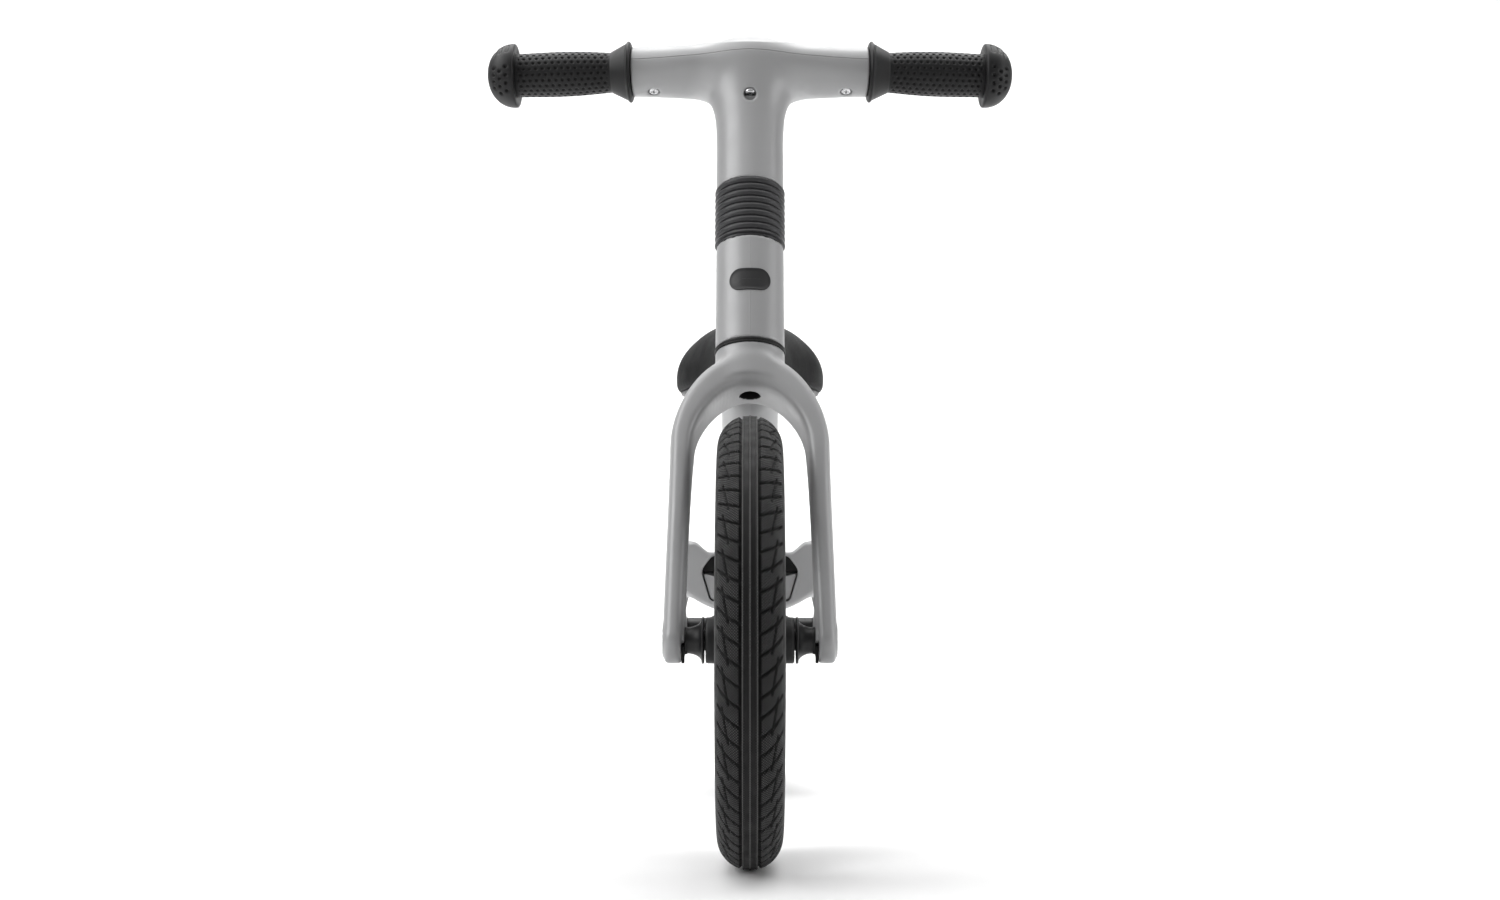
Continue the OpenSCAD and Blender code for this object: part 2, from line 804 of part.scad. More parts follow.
module handlebar_cover() {
  color(paint) steer() difference() {
    bar_solid();
    bar_cavities();
    screw_holes();
    translate([-bar_w / 2, -100, bar_s + seam - 200]) cube([bar_w, 200, 200]);
  }
}

plug_l = 22;

module steerer_plug() {
  color(steel) steer() tube(steerer_in_r - snug, bolt_r + snug, steerer_top_s - plug_l, steerer_top_s - 1);
}

module steerer_top_bolt() {
  color(steel) steer() difference() {
    union() {
      translate([0, 0, steerer_top_s - 20])
        cylinder(r = bolt_r, h = bar_s - top_pocket_half - steerer_top_s + 20);
      translate([0, 0, bar_s - top_pocket_half]) cylinder(r = top_head_r, h = top_head_t);
    }
    translate([0, 0, bar_s - 7]) cylinder(r = 3.4, h = 5, $fn = 6);
  }
}

module handlebar_screws() {
  color(steel) steer() for (p = screw_spots) translate(p) difference() {
    union() {
      translate([0, 0, -screw_head_t]) cylinder(r = screw_head_r, h = screw_head_t);
      cylinder(r = screw_r, h = bar_s + screw_in - p[2]);
    }
    for (turn = [0, 90]) rotate([0, 0, turn])
      translate([-slot_l / 2, -slot_w / 2, -screw_head_t - 1]) cube([slot_l, slot_w, slot_deep + 1]);
  }
}

// ---- Grips ----

grip_tube_l = grip_l + grip_tube_in - 9;

module grip_tube() {
  translate([0, 0, -grip_tube_in]) difference() {
    cylinder(r = grip_tube_r, h = grip_tube_l);
    translate([0, 0, -1]) cylinder(r = grip_tube_r - 1.6, h = grip_tube_l + 2);
    // Hole for the screw that comes up through the arm
    translate([0, 0, grip_tube_in - arm_end_x + screw_x]) rotate([0, 90, 0])
      cylinder(r = screw_r + 0.4, h = 40, center = true);
  }
}

// Flange, swelling barrel and domed safety end, as [radius, distance] from the bore outwards
grip_flange_r = 22.8;
grip_neck_r = 14.8;
grip_belly_r = 16.75;
grip_end_r = 16.2;
cap_r = 23.9;
cap_start = 87.5;
flange_l = 15.5;
rubber_wall = 2.2;
belly_at = 0.55;

function barrel_r(t) = t < belly_at
  ? lerp(grip_neck_r, grip_belly_r, sin(90 * t / belly_at))
  : lerp(grip_belly_r, grip_end_r, smooth((t - belly_at) / (1 - belly_at)));

module grip() {
  cap_l = grip_l - 0.6 - cap_start;
  rotate_extrude() polygon(concat(
    [[grip_tube_r + snug, 0], [grip_flange_r - rubber_wall, 0], [grip_flange_r, 1]],
    [[grip_flange_r, 2.2], [grip_neck_r, flange_l]],
    [for (k = [1 : 10]) [barrel_r(k / 10), lerp(flange_l, cap_start + 1.5, k / 10)]],
    [[cap_r - 2, cap_start - 1], [cap_r, cap_start + 0.5]],
    [for (k = [0 : 10]) let (a = 90 * k / 10)
      [cap_r * cos(a), cap_start + 1.5 + (cap_l - 1.5) * sin(a)]],
    [[0, grip_l - 8], [grip_tube_r + snug, grip_l - 8]]
  ));
}

// Draws a child about each grip's own axis, on the side asked for
module on_grip(side) {
  steer() mirror([side < 0 ? 1 : 0, 0, 0]) translate([arm_end_x, 0, bar_s])
    rotate([0, 0, grip_sweep]) about_x() children();
}

module left_grip_tube() { color(steel) on_grip(-1) grip_tube(); }
module right_grip_tube() { color(steel) on_grip(1) grip_tube(); }
module left_grip() { color(black_rubber) on_grip(-1) translate([0, 0, 0.4]) grip(); }
module right_grip() { color(black_rubber) on_grip(1) translate([0, 0, 0.4]) grip(); }

// ---- Saddle ----

// Length of post that stays in the seat tube at the highest setting
post_hold = 38;
post_low = seat_tube_top - post_hold - saddle_travel;
post_top = 118;
post_wall = 1.8;
post_screw_r = 3.2;
socket_l = 22;
socket_r = 19;

module seat_post() {
  color(steel) on_post() difference() {
    translate([0, 0, post_low]) cylinder(r = post_r, h = post_top - post_low);
    translate([0, 0, post_low - 1]) cylinder(r = post_r - post_wall, h = post_top - post_low - 4);
    translate([0, 0, post_top - 6]) cylinder(r = post_screw_r, h = 8);
  }
}

saddle_nose_y = -15;
saddle_steps = 20;
saddle_points = 28;

// Outline of the saddle, with t running from the nose at 0 to the back at 1
function saddle_half(t) = lerp(saddle_nose_half, saddle_w / 2, smooth((t - 0.18) / 0.55))
  * sqrt(max(0.02, 1 - pow(abs(2 * t - 1), 7)));
function saddle_crown(t) =
  saddle_top - 13 * (1 - smooth(t * 1.25)) - 3.5 * smooth((0.95 - t) * 3) * smooth(t * 3);
function saddle_mid(t) = lerp(saddle_wide_z + 6, saddle_wide_z, smooth(t * 1.3));
function saddle_low(t) = lerp(saddle_under + 12, saddle_under, smooth(t / 0.33));

module saddle_skin() {
  loft([
    for (k = [0 : saddle_steps])
      let (
        t = 0.5 - 0.5 * cos(180 * k / saddle_steps),
        w = saddle_half(t),
        mid = saddle_mid(t)
      )
      [for (i = [0 : saddle_points - 1])
        let (a = 360 * i / saddle_points, up = sin(a) > 0)
        [-w * power(cos(a), up ? 1 : 0.5), saddle_nose_y + saddle_l * t,
         mid + (up ? (saddle_crown(t) - mid) * sin(a) : (mid - saddle_low(t)) * power(sin(a), 0.5))]]
  ]);
}

module saddle_cover() {
  color(black_rubber) saddle_skin();
}

// Hard plate under the cushion, with a socket for the top of the post
base_t = 5;
base_y0 = 62;
base_y1 = 190;
saddle_screw_r = 2.1;
saddle_screw_spots = [[-16, 78], [16, 78], [-34, 160], [34, 160]];

module base_outline() {
  polygon([
    [-20, base_y0], [20, base_y0], [44, 120], [49, 160], [38, base_y1],
    [-38, base_y1], [-49, 160], [-44, 120]
  ]);
}

module saddle_base() {
  color(black_plastic) difference() {
    union() {
      translate([0, 0, saddle_under - base_t]) linear_extrude(base_t) base_outline();
      on_post() translate([0, 0, post_top - socket_l]) cylinder(r = socket_r, h = socket_l + 8);
    }
    translate([-100, -100, saddle_under]) cube([200, 400, 60]);
    on_post() translate([0, 0, post_top - socket_l - 1]) cylinder(r = post_r + snug, h = socket_l + 1);
    for (p = saddle_screw_spots)
      translate([p[0], p[1], saddle_under - 20]) cylinder(r = saddle_screw_r + snug, h = 30);
  }
}

module saddle_screws() {
  color(steel) for (p = saddle_screw_spots) translate([p[0], p[1], saddle_under - base_t]) difference() {
    union() {
      translate([0, 0, -screw_head_t]) cylinder(r = screw_head_r, h = screw_head_t);
      cylinder(r = saddle_screw_r, h = base_t);
    }
    translate([0, 0, -screw_head_t - 1]) cylinder(r = 1.7, h = slot_deep + 1, $fn = 6);
  }
}

main_frame();
footrest_pads();
head_badge();
upper_steering_bearing();
lower_steering_bearing();
seat_clamp();
seat_clamp_bolt();
rear_axle();
rear_axle_spacers();
rear_tab_washers();
rear_axle_bolts();
fork();
steerer_tube();
lower_seal_ring();
steerer_spacer();
bellows();
handlebar_body();
handlebar_cover();
steerer_plug();
steerer_top_bolt();
handlebar_screws();
left_grip_tube();
right_grip_tube();
left_grip();
right_grip();
front_axle();
front_axle_spacers();
front_tab_washers();
front_axle_bolts();
front_tyre();
front_inner_tube();
front_wheel();
front_bearings();
front_valve_cap();
rear_tyre();
rear_inner_tube();
rear_wheel();
rear_bearings();
rear_valve_cap();
seat_post();
saddle_base();
saddle_cover();
saddle_screws();
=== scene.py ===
import json
from math import cos, hypot, pi, radians, sin, tan

import bmesh
import bpy
import numpy as np
from mathutils import Matrix, Vector


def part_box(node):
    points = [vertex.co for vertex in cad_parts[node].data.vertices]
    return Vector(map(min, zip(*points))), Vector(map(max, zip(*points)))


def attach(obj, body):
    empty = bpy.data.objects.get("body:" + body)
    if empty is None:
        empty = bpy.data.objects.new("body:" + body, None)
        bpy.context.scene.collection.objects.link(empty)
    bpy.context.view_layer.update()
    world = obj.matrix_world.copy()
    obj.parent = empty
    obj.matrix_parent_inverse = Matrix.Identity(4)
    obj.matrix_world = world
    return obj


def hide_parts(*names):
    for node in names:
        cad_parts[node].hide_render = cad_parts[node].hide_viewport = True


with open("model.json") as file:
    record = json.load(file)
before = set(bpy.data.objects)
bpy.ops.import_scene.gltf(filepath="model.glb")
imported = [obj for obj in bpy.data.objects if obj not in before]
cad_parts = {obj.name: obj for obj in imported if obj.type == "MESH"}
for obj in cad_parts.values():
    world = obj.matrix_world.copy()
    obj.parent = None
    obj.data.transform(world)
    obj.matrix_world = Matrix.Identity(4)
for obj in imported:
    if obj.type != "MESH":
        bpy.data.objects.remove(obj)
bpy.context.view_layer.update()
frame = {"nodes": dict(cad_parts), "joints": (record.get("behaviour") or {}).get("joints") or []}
joints = {joint["name"]: joint for joint in frame["joints"]}

# Shapes are worked out in millimetres in their own axes, and placed in the frame in metres
MM = 0.001


# ---- Places ----

def place_at(origin, up, across=(1, 0, 0)):
    """Matrix from a piece's own millimetres to the frame: its z runs along up and its x near across."""
    z = Vector(up).normalized()
    y = z.cross(Vector(across)).normalized()
    x = y.cross(z)
    turn = Matrix((x, y, z)).transposed().to_4x4()
    return Matrix.Translation(Vector(origin)) @ turn @ Matrix.Scale(MM, 4)


def box_centre(node):
    low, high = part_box(node)
    return (low + high) / 2


UP = Vector(joints["steering_turn"]["axis"]).normalized()
STEER = place_at(joints["steering_turn"]["pos_m"], UP)
FRONT = place_at(joints["front_wheel_spin"]["pos_m"], (1, 0, 0), (0, 1, 0))
REAR = place_at(joints["rear_wheel_spin"]["pos_m"], (1, 0, 0), (0, 1, 0))
ROW = Matrix.Scale(MM, 4)
# The seat post's axes start 56 mm below its middle
POST = place_at(box_centre("seat_post") - UP * 56 * MM, UP)


def to_local(place, points):
    """Points of the row, in millimetres, seen from a place."""
    turn = np.array(place.to_3x3()) / MM
    origin = np.array(place.translation) / MM
    return (points - origin) @ turn


# ---- Curves and outlines ----

def turns(steps):
    """Angles spaced evenly round a full turn."""
    return np.arange(steps) * 2 * pi / steps


def lerp(a, b, t):
    return a + (b - a) * t


def smooth(t):
    c = np.clip(t, 0, 1)
    return c * c * (3 - 2 * c)


def cubic(a, b, c, d, t):
    """Points of a cubic curve with ends a and d and handles b and c."""
    t = np.asarray(t, float)[:, None]
    a, b, c, d = (np.asarray(v, float) for v in (a, b, c, d))
    return (1 - t) ** 3 * a + 3 * t * (1 - t) ** 2 * b + 3 * t * t * (1 - t) * c + t ** 3 * d


def soften(points, radius, steps=3):
    """Rounds each corner of a line of (radius, height) points with a short curve."""
    points = [Vector(p) for p in points]
    out = [points[0]]
    for a, b, c in zip(points, points[1:], points[2:]):
        before, after = a - b, c - b
        cut = min(radius, before.length * 0.45, after.length * 0.45)
        p, q = b + before.normalized() * cut, b + after.normalized() * cut
        for k in range(steps + 1):
            t = k / steps
            out.append(p.lerp(b, t).lerp(b.lerp(q, t), t))
    out.append(points[-1])
    return [tuple(p) for p in out]


def hexagon(radius):
    """Radius of a hexagon at an angle, for a socket or a nut."""
    return lambda angle: radius * cos(pi / 6) / np.cos((angle % (pi / 3)) - pi / 6)


def cross_slot(length, width):
    """Radius at an angle of a cross made of two slots."""
    def radius(angle):
        c, s = np.abs(np.cos(angle)) + 1e-6, np.abs(np.sin(angle)) + 1e-6
        return np.maximum(np.minimum(length / c, width / s), np.minimum(length / s, width / c))
    return radius


# ---- Meshes ----

def grid_faces(rows, columns, wrap=False):
    """Four-sided faces over closed rows of points, and from the last row to the first if they wrap."""
    i = np.arange(rows if wrap else rows - 1)
    i, j = (v.ravel() for v in np.meshgrid(i, np.arange(columns), indexing="ij"))
    i2, j2 = (i + 1) % rows, (j + 1) % columns
    return np.column_stack((i * columns + j, i * columns + j2, i2 * columns + j2, i2 * columns + j))


def lathe(profile, steps=96, wrap=False):
    """Points and faces turned about z from (radius, height) pairs. A radius may depend on the angle."""
    angle = turns(steps)
    rings = []
    for radius, height in profile:
        r = radius(angle) if callable(radius) else radius
        rings.append(np.column_stack((r * np.cos(angle), r * np.sin(angle), height + 0 * angle)))
    return np.concatenate(rings), grid_faces(len(profile), steps, wrap)


def join(*parts):
    """One set of points and faces from several."""
    points, faces, start = [], [], 0
    for p, f in parts:
        points.append(np.asarray(p, float))
        faces.append(np.asarray(f) + start)
        start += len(p)
    return np.concatenate(points), np.concatenate(faces)


def moved(part, offset):
    """A part shifted by an offset."""
    points, faces = part
    return points + offset, faces


def doubled(part, axis=2):
    """A part and its mirror image along an axis."""
    points, faces = part
    return join(part, (points * np.where(np.arange(3) == axis, -1, 1), faces[:, ::-1]))


def outward(points, faces):
    """Turns the faces over if they look inwards."""
    a, b, c, d = (points[faces[:, k]] for k in range(4))
    volume = np.einsum("ij,ij->i", a, np.cross(b, c) + np.cross(c, d)).sum()
    return faces if volume > 0 else faces[:, ::-1]


def added(name, data):
    """A new object in the scene."""
    thing = bpy.data.objects.new(name, data)
    bpy.context.scene.collection.objects.link(thing)
    return thing


# The record's slots, where a look has another name. Blender may add a number to the name of a look.
SLOTS = {"grey_paint_parted": "grey_paint", "badge_plastic": "badge", "saddle_skin": "saddle_cover",
         "bright_zinc": "fasteners", "black_oxide": "black_bolts", "black_anodised": "post_alloy"}


def finished(name, mesh, body, look, node, sharp):
    """A piece of the bike from a mesh. It stands for a node of the CAD model, or for nothing in it."""
    mesh.polygons.foreach_set("use_smooth", [True] * len(mesh.polygons))
    if sharp:
        mesh.set_sharp_from_angle(angle=radians(sharp))
    piece = added(name, mesh)
    mesh.materials.append(look)
    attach(piece, body)
    if node:
        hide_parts(node)
    slot = look.name.partition(".")[0]
    SLOTS.get(slot, slot)
    return piece


def make(name, part, place, body, look, node=None, sharp=40, mirrored=False, skin=None):
    """A finished piece from points and four-sided faces in a place's own millimetres."""
    points, faces = part
    faces = outward(points, faces)
    matrix = np.array(place)
    world = points @ matrix[:3, :3].T + matrix[:3, 3]
    if mirrored:
        world = world * (-1, 1, 1)
    if mirrored != (place.determinant() < 0):
        faces = faces[:, ::-1]
    mesh = bpy.data.meshes.new(name)
    mesh.from_pydata(world.tolist(), [], faces.tolist())
    if skin is not None:
        layer = mesh.attributes.new("skin", "FLOAT_VECTOR", "POINT")
        layer.data.foreach_set("vector", np.asarray(skin, np.float32).ravel())
    tidy = bmesh.new()
    tidy.from_mesh(mesh)
    bmesh.ops.remove_doubles(tidy, verts=tidy.verts, dist=2e-6)
    bmesh.ops.dissolve_degenerate(tidy, edges=tidy.edges, dist=1e-6)
    tidy.to_mesh(mesh)
    tidy.free()
    return finished(name, mesh, body, look, node, sharp)


# ---- Shapes as fields: negative inside, about the distance to the surface near it ----

def merge(a, b, k):
    """Union of two shapes with a fillet about k wide."""
    h = np.clip(0.5 + 0.5 * (b - a) / k, 0, 1)
    return b + (a - b) * h - k * h * (1 - h)


def meet(a, b, k):
    """Overlap of two shapes with an edge rounded over about k. Cutting b away is the overlap with -b."""
    return -merge(-a, -b, k)


def bar(line, side, half_side, half_deep, power):
    """Field of a bar swept along a line, half_side wide along the directions side and half_deep across.

    Its cross-section is an oval at power 2 and squarer at a higher power."""
    sizes = np.stack(np.broadcast_arrays(half_side, half_deep, power, line[:, 0])[:3], -1)
    way = np.diff(line, axis=0)
    tangent = np.gradient(line, axis=0)
    tangent /= np.linalg.norm(tangent, axis=1)[:, None]
    deep = np.cross(tangent, side)
    deep /= np.linalg.norm(deep, axis=1)[:, None]
    side = np.cross(deep, tangent)
    last = len(way) - 1

    def field(p):
        best, at = np.full(len(p), np.inf), np.zeros(len(p))
        for k, w in enumerate(way):
            t = np.clip((p - line[k]) @ w / (w @ w), 0, 1)
            d = ((p - line[k] - t[:, None] * w) ** 2).sum(1)
            near = d < best
            best[near] = d[near]
            at[near] = k + t[near]
        k = np.minimum(at.astype(int), last)
        t = (at - k)[:, None]

        def mid(values):
            return values[k] * (1 - t) + values[k + 1] * t
        off = p - mid(line)
        side_here, deep_here, here = mid(sizes).T
        a = np.abs((off * mid(side)).sum(1)) / side_here
        b = np.abs((off * mid(deep)).sum(1)) / deep_here
        beyond = np.abs((off * mid(tangent)).sum(1))
        r = (a ** here + b ** here) ** (1 / here) + 1e-9
        across = np.sqrt(np.maximum((off ** 2).sum(1) - beyond ** 2, 0)) + 1e-6
        around = (r - 1) * np.minimum(across / r, sizes[:, 0].max() * 2)
        ends = (at <= 0) | (at >= last + 1)
        return np.where(ends, np.maximum(around, beyond), around)
    return field


def between(v, low, high):
    """Field of the slab where a coordinate lies between two values."""
    return np.maximum(low - v, v - high)


def rod(p, radius, low, high, k=1.0):
    """Field of a round rod along z."""
    return meet(np.hypot(p[:, 0], p[:, 1]) - radius, between(p[:, 2], low, high), k)


def carved(solid, *cuts):
    """A field with others, each given with the rounding of its edge, cut away from it."""
    for cut, k in cuts:
        solid = meet(solid, -cut, k)
    return solid


def one_side(points):
    """Points with those on the left folded onto the right, for a shape that is the same on both sides."""
    return np.column_stack((np.abs(points[:, 0]), points[:, 1:]))


def block(p, low, high, k=1.0):
    """Field of a box with edges rounded over k."""
    d = between(p, low, high)
    return meet(meet(d[:, 0], d[:, 1], k), d[:, 2], k)


def skin_of(field, low, high, step):
    """Points and faces of the surface where a field is zero, from a grid whose cells are step wide."""
    coarse = 4
    low = np.asarray(low, float) - 2 * step
    count = (np.ceil((np.asarray(high) + 2 * step - low) / (step * coarse)).astype(int)) * coarse
    axes = [low[k] + step * np.arange(count[k] + 1) for k in range(3)]
    rough = [a[coarse // 2::coarse] for a in axes]
    centres = np.stack(np.meshgrid(*rough, indexing="ij"), -1)
    value = field(centres.reshape(-1, 3)).reshape(centres.shape[:3])
    near = np.abs(value) < step * coarse * 1.9
    f = np.full(count + 1, 1e3)
    fine = np.zeros(f.shape, bool)
    for target, cells in ((f, value), (fine, near)):
        target[:-1, :-1, :-1] = cells.repeat(coarse, 0).repeat(coarse, 1).repeat(coarse, 2)
    for k in range(3):
        fine |= np.roll(fine, 1, axis=k)
    where = np.argwhere(fine)
    f[fine] = field(low + where * step)
    return _net(f, low, step, field)


def _net(f, low, step, field):
    """Surface net of a grid of field values, with its points pulled onto the surface."""
    inside = f < 0
    size = np.array(f.shape) - 1
    corners = list(np.ndindex(2, 2, 2))

    def at(grid, corner):
        return grid[tuple(slice(c, n + c) for c, n in zip(corner, size))]

    total = sum(at(inside, c).astype(np.int8) for c in corners)
    active = (total > 0) & (total < 8)
    cells = np.argwhere(active)
    number = np.full(size, -1)
    number[active] = np.arange(len(cells))
    where, hits = np.zeros((len(cells), 3)), np.zeros(len(cells))
    for a in corners:
        for axis in range(3):
            if a[axis]:
                continue
            b = tuple(1 if k == axis else a[k] for k in range(3))
            fa, fb = at(f, a)[active], at(f, b)[active]
            cut = (fa < 0) != (fb < 0)
            t = fa[cut] / (fa[cut] - fb[cut])
            point = np.tile(np.array(a, float), (cut.sum(), 1))
            point[:, axis] += t
            where[cut] += point
            hits[cut] += 1
    points = low + step * (cells + where / hits[:, None])
    for _ in range(3):
        value = field(points)
        slope = np.column_stack([
            (field(points + step * 0.2 * np.eye(3)[k]) - value) / (step * 0.2) for k in range(3)])
        move = slope * (value / np.maximum((slope ** 2).sum(1), 0.25))[:, None]
        points = points - np.clip(move, -step * 0.5, step * 0.5)
    faces = []
    one = np.eye(3, dtype=int)
    for axis in range(3):
        u, v = (axis + 1) % 3, (axis + 2) % 3
        e = np.argwhere(np.diff(inside, axis=axis))
        e = e[(e[:, u] > 0) & (e[:, v] > 0) & (e[:, u] < size[u]) & (e[:, v] < size[v])]
        starts_in = inside[tuple(e.T)]
        ring = [(1, 1), (0, 1), (0, 0), (1, 0)]
        quad = np.column_stack([number[tuple((e - du * one[u] - dv * one[v]).T)] for du, dv in ring])
        quad[~starts_in] = quad[~starts_in][:, ::-1]
        faces.append(quad)
    return points, np.concatenate(faces)


# ---- Materials ----

def rgba(colour):
    """An opaque colour from its three parts or from one grey level."""
    return (*np.broadcast_to(colour, 3).tolist(), 1)


class Look:
    """A node material being put together. Lengths in its patterns are in metres of the frame."""

    def __init__(self, name, colour, rough, metal=0.0, **sockets):
        self.material = bpy.data.materials.new(name)
        self.material.use_nodes = True
        self.tree = self.material.node_tree
        self.shader = next(n for n in self.tree.nodes if n.type == "BSDF_PRINCIPLED")
        self.coords = self.tree.nodes.new("ShaderNodeTexCoord").outputs["Object"]
        self.shader.inputs["Metallic"].default_value = metal
        self.shader.inputs["Base Color"].default_value = rgba(colour)
        self.shader.inputs["Roughness"].default_value = rough
        for key, value in sockets.items():
            self.shader.inputs[key.replace("_", " ")].default_value = value
        self.normal = None

    def put(self, socket, value):
        if isinstance(value, bpy.types.NodeSocket):
            self.tree.links.new(value, socket)
        else:
            socket.default_value = value

    def node(self, kind, sockets=(), **values):
        """A new node with its settings, and with its sockets set or linked by name or number."""
        node = self.tree.nodes.new("ShaderNode" + kind)
        for key, value in values.items():
            setattr(node, key, value)
        for key, value in dict(sockets).items():
            self.put(node.inputs[key], value)
        return node

    def noise(self, scale, detail=3.0, rough=0.5, vector=None):
        sockets = {"Scale": scale, "Detail": detail, "Roughness": rough, "Vector": vector or self.coords}
        return self.node("TexNoise", sockets).outputs["Fac"]

    def cells(self, scale, feature="F1", vector=None):
        sockets = {"Scale": scale, "Vector": vector or self.coords}
        return self.node("TexVoronoi", sockets, feature=feature).outputs["Distance"]

    def maths(self, operation, a, b=0.0):
        return self.node("Math", enumerate((a, b)), operation=operation).outputs[0]

    def times(self, a, b):
        return self.maths("MULTIPLY", a, b)

    def spread(self, value, low, high, to_low=0.0, to_high=1.0):
        return self.node("MapRange", enumerate((value, low, high, to_low, to_high))).outputs[0]

    def mix(self, factor, a, b):
        a, b = (v if isinstance(v, bpy.types.NodeSocket) else rgba(v) for v in (a, b))
        return self.node("Mix", {0: factor, 6: a, 7: b}, data_type="RGBA").outputs[2]

    def colour(self, socket):
        self.put(self.shader.inputs["Base Color"], socket)

    def uneven(self, scale, low, high, detail=3):
        """Roughness that wanders between two values."""
        rough = self.spread(self.noise(scale, detail), 0.3, 0.7, low, high)
        self.put(self.shader.inputs["Roughness"], rough)

    def bump(self, height, depth, strength=1.0):
        """Adds a relief depth metres deep on top of the ones before it."""
        node = self.node("Bump", {"Strength": strength, "Distance": depth, "Height": height})
        if self.normal:
            self.put(node.inputs["Normal"], self.normal)
        self.normal = node.outputs["Normal"]
        self.put(self.shader.inputs["Normal"], self.normal)

    def parts(self, vector):
        return self.node("SeparateXYZ", {0: vector}).outputs

    def skin(self):
        """The three values that a surface brings along with its points."""
        return self.parts(self.node("Attribute", attribute_name="skin").outputs["Vector"])


def grey_paint(name, parting=False):
    """Satin grey powder coat: a fine orange peel, faint mottling, and paint a little lighter along raised
    edges.
    """
    look = Look(name, (0.5, 0.5, 0.51), 0.42, metal=0.15, Coat_Weight=0.12, Coat_Roughness=0.28)
    mottle = look.noise(14, 4)
    edges = look.spread(look.node("NewGeometry").outputs["Pointiness"], 0.515, 0.56)
    base = look.mix(look.spread(mottle, 0.3, 0.7), (0.33, 0.331, 0.335), (0.36, 0.361, 0.365))
    look.colour(look.mix(look.times(edges, 0.35), base, (0.48, 0.48, 0.485)))
    look.uneven(60, 0.36, 0.47)
    look.bump(look.noise(900, 2, 0.4), 0.00005, 0.5)
    look.bump(look.noise(260, 2, 0.4), 0.00008, 0.35)
    if parting:
        x = look.maths("ABSOLUTE", look.parts(look.coords)[0])
        look.bump(look.spread(x, 0.00015, 0.0006, 1, 0), 0.00012, 0.8)
    return look.material


def dusty(look, dark, pale, scale=30):
    """Lets a little dust settle over a dark surface."""
    dust = look.times(look.spread(look.noise(scale, 5, 0.6), 0.45, 0.8), 0.2)
    tone = look.mix(dust, dark, pale)
    look.colour(tone)
    return tone


def tyre_look():
    """Matt black rubber with a fine diamond knurl pressed into the tread, where skin says, and painted
    light: shade in the grooves, highlights on the knurl peaks and the middle ridges.
    """
    look = Look("tyre_rubber", (0.01, 0.01, 0.0105), 0.55, Specular_IOR_Level=0.25)
    around, across, tread = look.skin()
    first = look.maths("SINE", look.times(look.maths("ADD", around, across), 3.4))
    second = look.maths("SINE", look.times(look.maths("SUBTRACT", around, across), 3.4))
    # Pale on the knurl's peaks, varied by noise: painted highlights on the diamonds, with a little dust
    points = look.times(look.spread(look.maths("ADD", first, second), 1.0, 1.8), tread)
    dust = look.times(look.spread(look.noise(45, 5, 0.6), 0.3, 0.7, 0.35, 1.0), points)
    # Where tread is 0, in the grooves and on the walls, the rubber is painted darker: painted shade in the
    # grooves
    rubber_tone_with_painted_light = look.mix(tread, 0.002, (0.011, 0.011, 0.0115))
    # The middle ridges, where tread reaches 2, are painted paler: a painted highlight
    rubber_tone_with_painted_light = look.mix(look.spread(tread, 1.1, 1.8), rubber_tone_with_painted_light, (0.11, 0.11, 0.108))
    look.colour(look.mix(dust, rubber_tone_with_painted_light, (0.17, 0.17, 0.168)))
    knurl = look.times(look.maths("MAXIMUM", first, second), tread)
    look.bump(knurl, 0.0004, 1.0)
    look.bump(look.noise(1400, 3), 0.00006, 0.5)
    look.uneven(120, 0.5, 0.7)
    return look.material


def rubber(name, dark, pale, rough, pit_painted_shade=False):
    """Moulded rubber with a fine grain, a little dust and uneven gloss. Pits are painted darker as shade, as
    far as skin says.
    """
    look = Look(name, dark, rough, Specular_IOR_Level=0.3)
    tone = dusty(look, dark, pale)
    if pit_painted_shade:
        # Painted shade: pits are darkened as far as skin says
        look.colour(look.mix(look.skin()[2], tone, 0.0005))
    look.uneven(70, rough - 0.07, rough + 0.08)
    look.bump(look.noise(1100, 3), 0.00005, 0.6)
    return look.material


def plastic(name, dark, pale, rough):
    """Moulded plastic with a spark-eroded texture."""
    look = Look(name, dark, rough, Specular_IOR_Level=0.35)
    dusty(look, dark, pale, 25)
    look.uneven(90, rough - 0.06, rough + 0.06)
    look.bump(look.cells(1900), 0.00004, 0.5)
    look.bump(look.noise(500, 2), 0.00003, 0.4)
    return look.material


def skin_look():
    """Skinned foam with a small leather-like grain and uneven gloss."""
    look = Look("saddle_skin", (0.007, 0.007, 0.0075), 0.5, Specular_IOR_Level=0.1)
    colour = look.node("TexNoise", {"Scale": 180, "Vector": look.coords}).outputs["Color"]
    warped = look.node("Mix", {0: 0.004, 4: look.coords, 5: colour}, data_type="VECTOR")
    creases = look.cells(620, "DISTANCE_TO_EDGE", warped.outputs[1])
    look.bump(look.spread(creases, 0.0, 0.22), 0.00009, 0.7)
    look.bump(look.noise(1500, 3), 0.00003, 0.5)
    dusty(look, (0.003, 0.003, 0.0033), 0.01, 20)
    look.uneven(35, 0.5, 0.64)
    return look.material


def metal(name, colour, rough, turned=False):
    """Plated or ground steel with fine scratches; turned parts show rings of tool marks."""
    look = Look(name, colour, rough, metal=1.0)
    pale, dark = [min(1, c * 1.08) for c in colour], [c * 0.84 for c in colour]
    look.colour(look.mix(look.spread(look.noise(90, 4), 0.35, 0.7), dark, pale))
    look.uneven(150, rough - 0.05, rough + 0.1, 4)
    stretched = look.node("Mapping", {"Scale": (18 if turned else 1, 1, 1), "Vector": look.coords})
    look.bump(look.noise(700, 3, vector=stretched.outputs[0]), 0.00002, 0.5)
    return look.material


